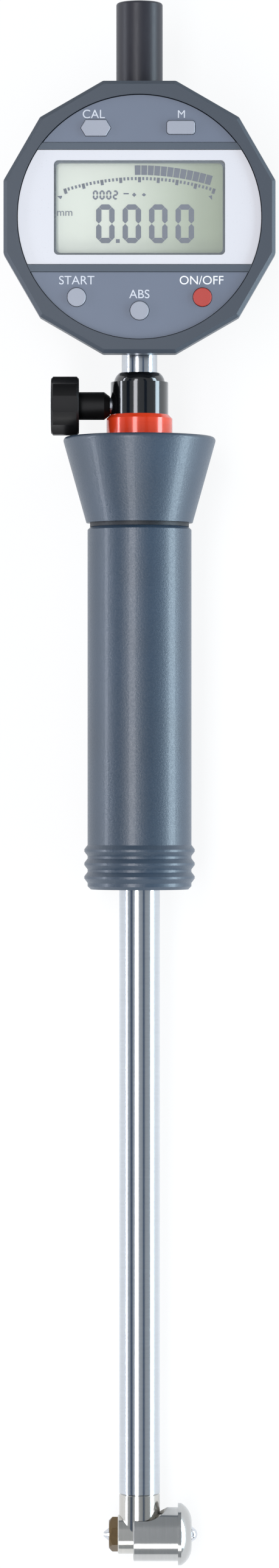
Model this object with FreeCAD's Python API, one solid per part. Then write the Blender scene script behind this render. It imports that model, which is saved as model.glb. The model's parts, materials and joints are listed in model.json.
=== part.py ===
"""Dial bore gauge with a digital indicator, for bores of 18 to 35 mm. Millimetres.

Every piece is drawn in the gauge's own straight frame: origin where the measuring axis crosses the
gauge's axis, +X towards the moving contact, +Y along the gauge towards the indicator, +Z out of the dial.
At the end all of them are set down together as the gauge lies at rest, on its back: the hand guard's rim
and the centring flange touch the floor, and the origin moves to the middle of the footprint.
"""

import FreeCAD, Part

import math
import os

Vector = FreeCAD.Vector
X_AXIS = Vector(1, 0, 0)
Y_AXIS = Vector(0, 1, 0)
Z_AXIS = Vector(0, 0, 1)

# ---------------------------------------------------------------- fits
RUNNING = 0.05  # radial clearance of a sliding or turning fit
PUSH_GAP = 0.05  # between two pieces that push each other
FREE_GAP = 0.3  # between moving pieces that never touch
CUT = 2.0  # how far a cutting tool runs past the face that it opens

# ---------------------------------------------------------------- measuring head
BARREL_R = 4.4
BARREL_LEFT = 4.9  # end face on the anvil's side, from the gauge's axis
BARREL_RIGHT = 8.4
NECK_FOOT = 1.2
NECK_TOP = 9.2
SPIGOT_LENGTH = 7.0
CRANK_ARM = 2.7  # both arms, from the pivot to the centre of each tip
CRANK_TIP_R = 0.7
CRANK_HUB_R = 1.1
CRANK_LIMB = 0.8  # width of the two limbs
CRANK_THICKNESS = 1.8
CRANK_SIDE_GAP = 0.2
PIVOT_R = 0.5
PIVOT_INSET = 0.12  # the pin ends below the barrel's surface
CONTACT_TRAVEL = 1.1
CONTACT_R = 1.75
CONTACT_NOSE_R = 0.6
CONTACT_COLLAR_R = 2.4
CONTACT_COLLAR_LENGTH = 0.8
CONTACT_TIP_R = 1.5
CONTACT_REACH = 13.1  # top of the hard tip, from the gauge's axis
CONTACT_TIP_PROUD = 1.0
BUSH_R = 2.6
BUSH_END_INSET = 0.4
SPRING_POCKET_R = 3.6
SPRING_POCKET_DEPTH = 1.8
SLEEVE_R = 6.05
SLEEVE_LEFT = 1.4  # the sleeve starts this far on the anvil's side
SLEEVE_TRAVEL = 1.5
SLEEVE_HOLE_GAP = 0.4
FLANGE_R = 7.0
FLANGE_START = 8.7
FLANGE_EDGE = 0.7  # straight rim of the flange
DOME_TOP = 11.8
DOME_FLAT_R = 2.6
SLEEVE_PIN_R = 0.6
SLEEVE_PIN_PLACE = 5.0
SLEEVE_PIN_DEPTH = 0.5
SLEEVE_SPRING_R = 2.9
SLEEVE_SPRING_WIRE = 0.2
SLEEVE_SPRING_TURNS = 3
ANVIL_R = 1.5
ANVIL_DEPTH = 3.0  # how far the anvil is screwed in
ANVIL_TIP_LENGTH = 1.2
ANVIL_TIP_FLAT_R = 0.5
NUT_FLATS = 6.8
NUT_LENGTH = 2.0
NUT_CHAMFER = 0.5

# ---------------------------------------------------------------- shaft
SHAFT_R = 4.6
SHAFT_BORE_R = 3.4
SHAFT_VISIBLE = 136.5
SHAFT_SOCKET = 20.3
SEAM_CHAMFER = 0.2
ROD_R = 1.4
GUIDE_LENGTH = 6.0
GUIDE_PLACES = (45.0, 95.0)  # the two bushes, from the top of the neck

# ---------------------------------------------------------------- handle
GRIP_R = 11.75
GRIP_BORE_R = 9.2
GRIP_LENGTH = 81.9
GRIP_END_WALL = 4.2
GRIP_EDGE_R = 0.7
GRIP_BOSS_R = 7.6
GRIP_BOSS_HEIGHT = 3.0
RIB_CREST_R = 12.5
RIB_BASE = 2.5
RIB_TIP = 0.5
RIB_FIRST = 2.7
RIB_PITCH = 3.05
RIB_COUNT = 3
TUBE_R = 6.0
TUBE_BORE_R = 4.2
TUBE_SHOULDER = 2.5
TUBE_SHOULDER_BORE_R = 2.0
TUBE_TOP_BORE_R = 5.0
TUBE_TOP_DEPTH = 14.9
SPACER_R = 11.2
SPACER_HEIGHT = 0.9
SPACER_SPIGOT = 4.6
GUARD_FOOT_R = 11.75
GUARD_RIM_R = 17.2
GUARD_HEIGHT = 19.4
GUARD_RIM_ROUND = 0.9
GUARD_WALL = 2.2
GUARD_HUB_R = 8.2
GUARD_LIP = 1.8
GUARD_DISH = 1.1
RING_R = 7.45
RING_HEIGHT = 5.0
RING_CHAMFER = 0.9
ROD_COLLAR_R = 3.2
ROD_COLLAR_LENGTH = 2.5
ROD_COLLAR_PLACE = 7.5  # above the tube's shoulder
ROD_SPRING_LENGTH = 21.5
ROD_SPRING_R = 2.5
ROD_SPRING_WIRE = 0.35
ROD_SPRING_TURNS = 7
ROD_BUTTON_R = 2.4
ROD_BUTTON_LENGTH = 2.0
ROD_TOP = 20.95  # top of the rod's button, below the clamp collar's foot

# ---------------------------------------------------------------- clamp
COLLAR_R = 6.5
COLLAR_SPIGOT = 12.9
COLLAR_BODY = 7.3
COLLAR_TAPER = 2.1
COLLAR_SHOULDER_R = 5.75
COLLAR_TOP_R = 4.6
CLAMP_HEIGHT = 2.0  # axis of the clamping screw above the collar's foot
SCREW_R = 1.95
PAD_TRAVEL = 0.7  # how far the pad backs off, one turn of the screw
PAD_THICKNESS = 1.2
SCREW_NECK_START = 6.7
HUB_R = 3.15
HUB_START = 8.0
KNOB_R = 6.65
KNOB_START = 13.7
KNOB_LENGTH = 6.3
KNOB_TAPER = 0.5
KNOB_EDGE = 0.5
KNOB_FLUTES = 6
KNOB_FLUTE_R = 9.0
KNOB_FLUTE_DEPTH = 0.45
INSERT_R = 4.9
INSERT_DEPTH = 1.2
INSERT_DOME = 0.5

# ---------------------------------------------------------------- indicator housing
STEM_R = 4.0
STEM_BORE_R = 3.2
STEM_GAP = 3.7  # bare stem between the collar and the bezel
STEM_INSERTED = 16.3  # below the collar's top
APOTHEM = 30.5  # centre of the twelve-sided bezel to its flats
BODY_APOTHEM = 27.9
SIDES = 12
CORNER_R = 1.0
FRONT = 11.5  # bezel's face in front of the stem's axis
BEZEL_BACK = 5.6
BEZEL_CHAMFER = 0.8
BODY_BACK = 13.0  # housing's rear edge behind the stem's axis
GASKET = 0.4
COVER_BACK = 15.5
COVER_CHAMFER = 0.7
COVER_LIP = 1.0
CAVITY_R = 25.5
LIP_GAP = 0.1
GASKET_INSET = 0.3
BOSS_TOP = 4.8
BOSS_BACK = 7.0
STEM_BOSS_HALF = 7.5
STEM_BOSS_TOP = 5.0  # above the housing's lower wall
UPPER_BOSS_HALF = 6.5
UPPER_BOSS_DEPTH = 5.5
COVER_SCREW_R = 0.8
COVER_SCREW_HEAD_R = 1.5
COVER_SCREW_HEAD = 1.1
COVER_SCREW_LENGTH = 7.0
COVER_SCREW_PLACE = 23.6  # from the middle of the housing, at 45 degrees
COVER_BOSS_R = 2.2
COVER_BOSS_LENGTH = 7.0

# ---------------------------------------------------------------- dial side
FACE_R = 27.5
FACE_DEPTH = 0.6  # the dial lies below the bezel's face
PLATE = 0.9
CARRIER = 1.6
FACE_GAP = 0.1
PLATE_GAP = 0.1
UPPER_CHORD = 16.6
DISPLAY_TOP = 15.1
DISPLAY_BOTTOM = -10.7
LOWER_CHORD = -12.3
BAR_PROUD = 0.15
WINDOW_WIDTH = 38.4
WINDOW_HEIGHT = 21.2
WINDOW_MIDDLE = 2.1
WINDOW_CORNER_R = 1.0
WINDOW_LEDGE = 0.5
WINDOW_FIT = 0.05
LCD_WIDTH = 41.0
LCD_HEIGHT = 24.0
LCD_THICKNESS = 1.8
BOARD_R = 24.5
BOARD_GAP = 0.6
BOARD_THICKNESS = 1.0
CONNECTOR_WIDTH = 2.0
CONNECTOR_INSET = 1.0
POST_R = 1.4
POST_PLACES = ((16.1, 16.1), (-16.1, 16.1), (18.7, -13.1), (-18.7, -13.1))
POST_SCREW_R = 0.5
POST_SCREW_HEAD_R = 1.0
POST_SCREW_HEAD = 0.6
POST_SCREW_LENGTH = 2.6
BUTTON_PROUD = 0.5
BUTTON_TRAVEL = 0.5
BUTTON_GAP = 0.12
BUTTON_FLANGE = 0.5
BUTTON_FLANGE_THICKNESS = 0.7
BUTTON_ROUND = 0.15
SWITCH_R = 1.5
SWITCH_HEIGHT = 0.6
CAL_PLACE = (-9.8, 19.9)
CAL_SIZE = (6.7, 3.6)
MODE_PLACE = (9.3, 20.0)
MODE_SIZE = (6.3, 3.0)
MODE_CORNER_R = 0.7
ROUND_BUTTON_R = 2.08
START_PLACE = (-14.1, -18.0)
ABS_PLACE = (0.0, -21.0)
POWER_PLACE = (14.1, -18.0)

# ---------------------------------------------------------------- indicator works
SPINDLE_R = 2.0
SPINDLE_ABOVE = 5.0  # the spindle's upper end above the body's top flat
POINT_LENGTH = 6.5
POINT_BALL_R = 1.5
STEM_BUSH_LENGTH = 6.0
UPPER_NIPPLE_R = 4.2
UPPER_NIPPLE = 4.0
CARRIER_HEIGHT = 10.0
CARRIER_PLACE = -6.5  # foot of the spindle carrier, from the middle of the housing
CARRIER_LEFT = 5.0
CARRIER_BACK = 3.2
CARRIER_FRONT = 3.25
GUIDE_X = 9.0
GUIDE_R = 1.0
GUIDE_LUG = 1.8
LUG_REACH = 19.5  # the lugs' inner ends, from the middle of the housing
FORK_OUTSIDE = 1.4
SCALE_WIDTH = 5.0
SCALE_LENGTH = 24.0
SCALE_THICKNESS = 0.6
READER_WIDTH = 8.0
READER_LENGTH = 12.0
READER_THICKNESS = 0.9
SPINDLE_SPRING_R = 2.75
SPINDLE_SPRING_WIRE = 0.25
SPINDLE_SPRING_TURNS = 6
CAP_R = 5.25
CAP_HEIGHT = 21.5
CAP_ROOF = 1.7
CAP_EDGE_R = 0.6

# ---------------------------------------------------------------- battery
BATTERY_R = 10.0
BATTERY_THICKNESS = 3.2
BATTERY_GAP = 0.2
HOLDER_WALL = 2.4
HOLDER_ROOF = 0.6
LEAF_THICKNESS = 0.4
LEAF_WIDTH = 3.0
LEAF_LENGTH = 14.0
DOOR_R = 11.4
DOOR_THICKNESS = 1.9
DOOR_BOSS_R = 9.6
DOOR_SLOT_LENGTH = 12.0
DOOR_SLOT_WIDTH = 1.6
DOOR_SLOT_DEPTH = 0.8

# ---------------------------------------------------------------- stations along the gauge
GRIP_START = NECK_TOP + SHAFT_VISIBLE
GRIP_END = GRIP_START + GRIP_LENGTH
GUARD_START = GRIP_END + SPACER_HEIGHT
GUARD_TOP = GUARD_START + GUARD_HEIGHT
COLLAR_FOOT = GUARD_TOP + RING_HEIGHT
COLLAR_TOP = COLLAR_FOOT + COLLAR_BODY + COLLAR_TAPER
HOUSING_Y = COLLAR_TOP + STEM_GAP + APOTHEM
BODY_FOOT = HOUSING_Y - BODY_APOTHEM
BODY_TOP = HOUSING_Y + BODY_APOTHEM
STEM_FOOT = COLLAR_TOP - STEM_INSERTED
STEM_TOP = BODY_FOOT + STEM_BOSS_TOP
TUBE_FOOT = GRIP_START + GRIP_END_WALL
SHAFT_END = GRIP_START + SHAFT_SOCKET
SHOULDER_TOP = SHAFT_END + TUBE_SHOULDER
TUBE_TOP_BORE_FOOT = COLLAR_FOOT - TUBE_TOP_DEPTH
ROD_FOOT = CRANK_ARM + CRANK_TIP_R + PUSH_GAP
ROD_END = COLLAR_FOOT - ROD_TOP
ROD_COLLAR_FOOT = SHOULDER_TOP + ROD_COLLAR_PLACE
ROD_COLLAR_TOP = ROD_COLLAR_FOOT + ROD_COLLAR_LENGTH
HANDLE_GUIDE_FOOT = ROD_COLLAR_TOP + ROD_SPRING_LENGTH
POINT_FOOT = ROD_END + PUSH_GAP
SPINDLE_FOOT = POINT_FOOT + POINT_LENGTH
SPINDLE_TOP = BODY_TOP + SPINDLE_ABOVE
CARRIER_FOOT = HOUSING_Y + CARRIER_PLACE
CARRIER_TOP = CARRIER_FOOT + CARRIER_HEIGHT
CAP_TOP = BODY_TOP + CAP_HEIGHT
CLAMP_Y = COLLAR_FOOT + CLAMP_HEIGHT

# ---------------------------------------------------------------- stations across the indicator
FACE = FRONT - FACE_DEPTH
PLATE_BACK = FACE - PLATE
CARRIER_SEAT = PLATE_BACK - CARRIER
LCD_BACK = CARRIER_SEAT - LCD_THICKNESS
BOARD_FRONT = LCD_BACK - BOARD_GAP
BOARD_BACK = BOARD_FRONT - BOARD_THICKNESS
SWITCH_TOP = BOARD_FRONT + SWITCH_HEIGHT
COVER_FRONT = BODY_BACK + GASKET

# ---------------------------------------------------------------- stations across the head
HUB_RIGHT = CRANK_ARM + CRANK_HUB_R
COLLAR_REST = HUB_RIGHT + RUNNING + PUSH_GAP + CONTACT_TRAVEL
BUSH_LEFT = COLLAR_REST + CONTACT_COLLAR_LENGTH + PUSH_GAP
BUSH_RIGHT = BARREL_RIGHT - BUSH_END_INSET
SLEEVE_WALL = BARREL_RIGHT + SLEEVE_TRAVEL + RUNNING + PUSH_GAP
SLOT_HALF = CRANK_THICKNESS / 2 + CRANK_SIDE_GAP
SLOT_TOP = CRANK_ARM + CRANK_HUB_R + CRANK_SIDE_GAP


# ---------------------------------------------------------------- drawing helpers
def face_of(points):
    """A flat face inside the closed outline through these points."""
    return Part.Face(Part.makePolygon([*points, points[0]]))


def turned(profile):
    """A solid turned about the gauge's axis, from (radius, height) points."""
    face = face_of([Vector(radius, height, 0) for radius, height in profile])
    return face.revolve(Vector(0, 0, 0), Y_AXIS, 360)


def turned_across(profile, height=0.0):
    """A solid turned about an axis along X at this height, from (place, radius) points."""
    face = face_of([Vector(place, height + radius, 0) for place, radius in profile])
    return face.revolve(Vector(0, height, 0), X_AXIS, 360)


def rod_up(radius, foot, top, x=0.0, z=0.0):
    """A cylinder along the gauge."""
    return Part.makeCylinder(radius, top - foot, Vector(x, foot, z), Y_AXIS)


def rod_across(radius, left, right, y=0.0, z=0.0):
    """A cylinder along the measuring axis's direction."""
    return Part.makeCylinder(radius, right - left, Vector(left, y, z), X_AXIS)


def disc(radius, back, front, x=0.0, y=0.0):
    """A cylinder that stands out of the dial's plane."""
    return Part.makeCylinder(radius, front - back, Vector(x, y, back), Z_AXIS)


def block(left, right, foot, top, back, front):
    """A box between the six given planes."""
    return Part.makeBox(right - left, top - foot, front - back, Vector(left, foot, back))


def prism(points, back, front):
    """An outline in the dial's plane, given depth."""
    face = face_of([Vector(x, y, back) for x, y in points])
    return face.extrude(Vector(0, 0, front - back))


def twelve_sided(apothem, back, front):
    """A twelve-sided prism with flats above, below, left and right, about the housing's middle."""
    reach = apothem / math.cos(math.pi / SIDES)
    corners = [(2 * step + 1) * math.pi / SIDES for step in range(SIDES)]
    return prism([(reach * math.cos(a), reach * math.sin(a)) for a in corners], back, front)


def edges_along_z(shape):
    """The straight edges of a prism that run out of the dial's plane."""
    upright = []
    for edge in shape.Edges:
        start, end = edge.Vertexes[0].Point, edge.Vertexes[-1].Point
        if abs(end.z - start.z) > abs(end.x - start.x) + abs(end.y - start.y):
            upright.append(edge)
    return upright


def edges_at_z(shape, height):
    """The edges that lie in one plane across Z."""
    return [e for e in shape.Edges if abs(e.BoundBox.ZMin - height) + abs(e.BoundBox.ZMax - height) < 1e-4]


def rounded_rectangle(size, radius, back, front, x=0.0, y=0.0):
    """A rectangular pad with round corners, about a middle in the dial's plane."""
    width, height = size
    pad = block(x - width / 2, x + width / 2, y - height / 2, y + height / 2, back, front)
    return pad.makeFillet(radius, edges_along_z(pad))


def coil(radius, wire, turns, length):
    """A spring of round wire that stands on its foot along Z, ends flush with the length given."""
    rise = length - 2 * wire
    helix = Part.makeHelix(rise / turns, rise, radius)
    section = Part.makeCircle(wire, Vector(radius, 0, 0), Y_AXIS)
    spring = Part.Wire(helix.Edges).makePipeShell([Part.Wire(section)], True, True)
    spring.translate(Vector(0, 0, wire))
    return spring


def coil_up(radius, wire, turns, foot, top):
    """A spring about the gauge's axis."""
    spring = coil(radius, wire, turns, top - foot)
    spring.rotate(Vector(0, 0, 0), X_AXIS, -90)
    spring.translate(Vector(0, foot, 0))
    return spring


def coil_across(radius, wire, turns, left, right):
    """A spring about the measuring axis."""
    spring = coil(radius, wire, turns, right - left)
    spring.rotate(Vector(0, 0, 0), Y_AXIS, 90)
    spring.translate(Vector(left, 0, 0))
    return spring


def group(solids):
    """Equal pieces that share one node."""
    return Part.makeCompound(solids)


# ---------------------------------------------------------------- measuring head
def head_body():
    """The tee of the head: a barrel across, a neck with a spigot up into the shaft, and all its bores."""
    barrel = turned_across(
        [
            (-BARREL_LEFT, 0),
            (-BARREL_LEFT, BARREL_R - SEAM_CHAMFER),
            (-BARREL_LEFT + SEAM_CHAMFER, BARREL_R),
            (BARREL_RIGHT - SEAM_CHAMFER, BARREL_R),
            (BARREL_RIGHT, BARREL_R - SEAM_CHAMFER),
            (BARREL_RIGHT, 0),
        ]
    )
    neck = turned(
        [
            (0, NECK_FOOT),
            (SHAFT_R, NECK_FOOT),
            (SHAFT_R, NECK_TOP - SEAM_CHAMFER),
            (SHAFT_R - SEAM_CHAMFER, NECK_TOP),
            (SHAFT_BORE_R, NECK_TOP),
            (SHAFT_BORE_R, NECK_TOP + SPIGOT_LENGTH),
            (0, NECK_TOP + SPIGOT_LENGTH),
        ]
    )
    body = barrel.fuse(neck)
    slot_left = -(CRANK_TIP_R + FREE_GAP)
    slot = block(slot_left, HUB_RIGHT + CRANK_SIDE_GAP, -BARREL_R - CUT, SLOT_TOP, -SLOT_HALF, SLOT_HALF)
    rod_bore = rod_up(ROD_R + RUNNING, CRANK_ARM + CRANK_TIP_R, NECK_TOP + SPIGOT_LENGTH + CUT)
    chamber = rod_across(BUSH_R, HUB_RIGHT, BARREL_RIGHT + CUT)
    pocket = rod_across(SPRING_POCKET_R, BARREL_RIGHT - SPRING_POCKET_DEPTH, BARREL_RIGHT + CUT)
    anvil_hole = rod_across(ANVIL_R, -BARREL_LEFT - CUT, -BARREL_LEFT + ANVIL_DEPTH)
    pin_hole = disc(PIVOT_R, -BARREL_R - CUT, BARREL_R + CUT, CRANK_ARM, CRANK_ARM)
    groove_half = SLEEVE_PIN_R + RUNNING
    groove = block(
        SLEEVE_PIN_PLACE - SLEEVE_TRAVEL - groove_half - RUNNING,
        SLEEVE_PIN_PLACE + groove_half,
        -BARREL_R - CUT,
        -BARREL_R + SLEEVE_PIN_DEPTH + RUNNING + PUSH_GAP,
        -groove_half,
        groove_half,
    )
    return body.cut([slot, rod_bore, chamber, pocket, anvil_hole, pin_hole, groove])


def bell_crank():
    """Two equal limbs at a right angle, each ending in a round tip, on one hub."""
    half = CRANK_THICKNESS / 2
    pivot = (CRANK_ARM, CRANK_ARM)
    hub = disc(CRANK_HUB_R, -half, half, *pivot)
    lower_tip = disc(CRANK_TIP_R, -half, half, CRANK_ARM, 0)
    upper_tip = disc(CRANK_TIP_R, -half, half, 0, CRANK_ARM)
    limb_half = CRANK_LIMB / 2
    lower = block(CRANK_ARM - limb_half, CRANK_ARM + limb_half, 0, CRANK_ARM, -half, half)
    upper = block(0, CRANK_ARM, CRANK_ARM - limb_half, CRANK_ARM + limb_half, -half, half)
    crank = hub.fuse([lower_tip, upper_tip, lower, upper]).removeSplitter()
    return crank.cut(disc(PIVOT_R + RUNNING, -half - CUT, half + CUT, *pivot))


def pivot_pin():
    """The crank's axle, just short of the barrel's surface at both ends."""
    reach = math.sqrt(BARREL_R**2 - CRANK_ARM**2) - PIVOT_INSET
    return disc(PIVOT_R, -reach, reach, CRANK_ARM, CRANK_ARM)


def contact_bush():
    """Guide of the moving contact, pressed into the barrel."""
    bush = rod_across(BUSH_R, BUSH_LEFT, BUSH_RIGHT)
    return bush.cut(rod_across(CONTACT_R + RUNNING, BUSH_LEFT - CUT, BUSH_RIGHT + CUT))


def measuring_contact():
    """The moving contact: nose, stop collar, guided rod and the hard domed tip on its end."""
    end = CONTACT_REACH - CONTACT_TIP_PROUD
    collar_end = COLLAR_REST + CONTACT_COLLAR_LENGTH
    rod = turned_across(
        [
            (ROD_FOOT, 0),
            (ROD_FOOT, CONTACT_NOSE_R),
            (COLLAR_REST, CONTACT_NOSE_R),
            (COLLAR_REST, CONTACT_COLLAR_R),
            (collar_end, CONTACT_COLLAR_R),
            (collar_end, CONTACT_R),
            (end - SEAM_CHAMFER, CONTACT_R),
            (end, CONTACT_TIP_R),
            (end, 0),
        ]
    )
    ball_r = (CONTACT_TIP_R**2 + CONTACT_TIP_PROUD**2) / (2 * CONTACT_TIP_PROUD)
    ball = Part.makeSphere(ball_r, Vector(CONTACT_REACH - ball_r, 0, 0))
    tip = ball.common(rod_across(CONTACT_TIP_R + CUT, end, CONTACT_REACH + CUT))
    return rod.fuse(tip)


def centring_sleeve():
    """Sleeve over the barrel with a domed flange, open above on the anvil's side to pass the neck."""
    hole_r = CONTACT_R + SLEEVE_HOLE_GAP
    bore_r = BARREL_R + RUNNING
    rim = FLANGE_START + FLANGE_EDGE
    mid = Vector((rim + DOME_TOP) / 2 + (DOME_TOP - rim) / 4, (FLANGE_R + DOME_FLAT_R) / 2 + 0.35, 0)
    flat = [(DOME_TOP, DOME_FLAT_R), (DOME_TOP, hole_r), (SLEEVE_WALL, hole_r), (SLEEVE_WALL, bore_r)]
    flat += [(-SLEEVE_LEFT, bore_r), (-SLEEVE_LEFT, SLEEVE_R - SEAM_CHAMFER)]
    flat += [(-SLEEVE_LEFT + SEAM_CHAMFER, SLEEVE_R), (FLANGE_START, SLEEVE_R)]
    flat += [(FLANGE_START, FLANGE_R), (rim, FLANGE_R)]
    line = Part.makePolygon([Vector(x, r, 0) for x, r in flat])
    dome = Part.Arc(Vector(rim, FLANGE_R, 0), mid, Vector(DOME_TOP, DOME_FLAT_R, 0)).toShape()
    face = Part.Face(Part.Wire([*line.Edges, dome]))
    sleeve = face.revolve(Vector(0, 0, 0), X_AXIS, 360)
    slot_half = SHAFT_R + FREE_GAP
    slot_end = SLEEVE_TRAVEL + RUNNING + PUSH_GAP
    slot_foot = NECK_FOOT - FREE_GAP
    round_end = rod_up(slot_half, slot_foot, SLEEVE_R + CUT, slot_end)
    open_end = block(-SLEEVE_LEFT - CUT, slot_end, slot_foot, SLEEVE_R + CUT, -slot_half, slot_half)
    pin_hole = rod_up(SLEEVE_PIN_R, -SLEEVE_R - CUT, -BARREL_R + CUT, SLEEVE_PIN_PLACE)
    return sleeve.cut([round_end, open_end, pin_hole])


def sleeve_pin():
    """Stop pin in the sleeve, its foot in the barrel's groove."""
    return rod_up(SLEEVE_PIN_R, -SLEEVE_R + SEAM_CHAMFER, -BARREL_R + SLEEVE_PIN_DEPTH, SLEEVE_PIN_PLACE)


def sleeve_spring():
    """Spring between the pocket in the barrel and the sleeve's end wall."""
    foot = BARREL_RIGHT - SPRING_POCKET_DEPTH
    return coil_across(SLEEVE_SPRING_R, SLEEVE_SPRING_WIRE, SLEEVE_SPRING_TURNS, foot, SLEEVE_WALL)


def anvil():
    """Fixed anvil, screwed into the barrel through the lock nut, ending in a hard cone."""
    foot = -BARREL_LEFT - NUT_LENGTH
    end = foot - ANVIL_TIP_LENGTH
    inner = -BARREL_LEFT + ANVIL_DEPTH
    return turned_across(
        [(end, 0), (end, ANVIL_TIP_FLAT_R), (foot, ANVIL_R), (inner, ANVIL_R), (inner, 0)]
    )


def lock_nut():
    """Hexagon nut on the anvil, its outer corners turned to a cone."""
    left = -BARREL_LEFT - NUT_LENGTH
    reach = NUT_FLATS / 2 / math.cos(math.pi / 6)
    corners = [step * math.pi / 3 for step in range(6)]
    outline = [Vector(left, reach * math.cos(a), reach * math.sin(a)) for a in corners]
    nut = face_of(outline).extrude(Vector(NUT_LENGTH, 0, 0))
    turned_r = NUT_FLATS / 2 - NUT_CHAMFER / 2
    cone = turned_across(
        [
            (left, 0),
            (left, turned_r),
            (left + NUT_CHAMFER * 2, reach + SEAM_CHAMFER),
            (-BARREL_LEFT, reach + SEAM_CHAMFER),
            (-BARREL_LEFT, 0),
        ]
    )
    return nut.common(cone).cut(rod_across(ANVIL_R, left - CUT, -BARREL_LEFT + CUT))


# ---------------------------------------------------------------- shaft and push rod
def shaft_tube():
    """Polished tube from the head's neck into the handle."""
    return turned(
        [
            (SHAFT_BORE_R, NECK_TOP),
            (SHAFT_R - SEAM_CHAMFER, NECK_TOP),
            (SHAFT_R, NECK_TOP + SEAM_CHAMFER),
            (SHAFT_R, SHAFT_END),
            (SHAFT_BORE_R, SHAFT_END),
        ]
    )


def shaft_guides():
    """The two bushes that carry the push rod inside the shaft."""
    guides = []
    for place in GUIDE_PLACES:
        foot = NECK_TOP + place
        bush = rod_up(SHAFT_BORE_R, foot, foot + GUIDE_LENGTH)
        guides.append(bush.cut(rod_up(ROD_R + RUNNING, foot - CUT, foot + GUIDE_LENGTH + CUT)))
    return group(guides)


def push_rod():
    """Rod from the crank up to its hard button, which the indicator's contact point rests on."""
    button_foot = ROD_END - ROD_BUTTON_LENGTH
    return turned(
        [
            (0, ROD_FOOT),
            (ROD_R, ROD_FOOT),
            (ROD_R, button_foot),
            (ROD_BUTTON_R, button_foot),
            (ROD_BUTTON_R, ROD_END - SEAM_CHAMFER),
            (ROD_BUTTON_R - SEAM_CHAMFER, ROD_END),
            (0, ROD_END),
        ]
    )


def rod_collar():
    """Collar on the rod that takes the spring's push."""
    collar = rod_up(ROD_COLLAR_R, ROD_COLLAR_FOOT, ROD_COLLAR_TOP)
    return collar.cut(rod_up(ROD_R, ROD_COLLAR_FOOT - CUT, ROD_COLLAR_TOP + CUT))


def rod_spring():
    """Spring from the handle's guide down on to the rod's collar."""
    return coil_up(ROD_SPRING_R, ROD_SPRING_WIRE, ROD_SPRING_TURNS, ROD_COLLAR_TOP, HANDLE_GUIDE_FOOT)


def handle_guide():
    """Upper bush of the push rod, inside the handle's tube."""
    bush = rod_up(TUBE_BORE_R, HANDLE_GUIDE_FOOT, HANDLE_GUIDE_FOOT + GUIDE_LENGTH)
    bore = rod_up(ROD_R + RUNNING, HANDLE_GUIDE_FOOT - CUT, HANDLE_GUIDE_FOOT + GUIDE_LENGTH + CUT)
    return bush.cut(bore)


# ---------------------------------------------------------------- handle
def handle_tube():
    """Metal tube that joins the shaft to the clamp collar, with a shoulder above the shaft's end."""
    return turned(
        [
            (SHAFT_R, TUBE_FOOT),
            (TUBE_R, TUBE_FOOT),
            (TUBE_R, COLLAR_FOOT),
            (TUBE_TOP_BORE_R, COLLAR_FOOT),
            (TUBE_TOP_BORE_R, TUBE_TOP_BORE_FOOT),
            (TUBE_BORE_R, TUBE_TOP_BORE_FOOT),
            (TUBE_BORE_R, SHOULDER_TOP),
            (TUBE_SHOULDER_BORE_R, SHOULDER_TOP),
            (TUBE_SHOULDER_BORE_R, SHAFT_END),
            (SHAFT_R, SHAFT_END),
        ]
    )


def grip_sleeve():
    """Moulded grip with three ribs above its end band, closed below around the shaft."""
    outline = [(SHAFT_R + RUNNING, GRIP_START), (GRIP_R - GRIP_EDGE_R, GRIP_START)]
    outline.append((GRIP_R, GRIP_START + GRIP_EDGE_R))
    for rib in range(RIB_COUNT):
        middle = GRIP_START + RIB_FIRST + rib * RIB_PITCH
        outline += [
            (GRIP_R, middle - RIB_BASE / 2),
            (RIB_CREST_R, middle - RIB_TIP / 2),
            (RIB_CREST_R, middle + RIB_TIP / 2),
            (GRIP_R, middle + RIB_BASE / 2),
        ]
    outline += [
        (GRIP_R, GRIP_END - GRIP_EDGE_R),
        (GRIP_R - GRIP_EDGE_R, GRIP_END),
        (GRIP_BORE_R, GRIP_END),
        (GRIP_BORE_R, TUBE_FOOT),
        (GRIP_BOSS_R, TUBE_FOOT),
        (GRIP_BOSS_R, TUBE_FOOT + GRIP_BOSS_HEIGHT),
        (TUBE_R, TUBE_FOOT + GRIP_BOSS_HEIGHT),
        (TUBE_R, TUBE_FOOT),
        (SHAFT_R + RUNNING, TUBE_FOOT),
    ]
    return turned(outline)


def guard_spacer():
    """Dark ring between grip and guard, with a spigot down into the grip."""
    foot = GRIP_END - SPACER_SPIGOT
    return turned(
        [
            (TUBE_R, foot),
            (GRIP_BORE_R, foot),
            (GRIP_BORE_R, GRIP_END),
            (SPACER_R, GRIP_END),
            (SPACER_R, GUARD_START),
            (TUBE_R, GUARD_START),
        ]
    )


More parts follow.
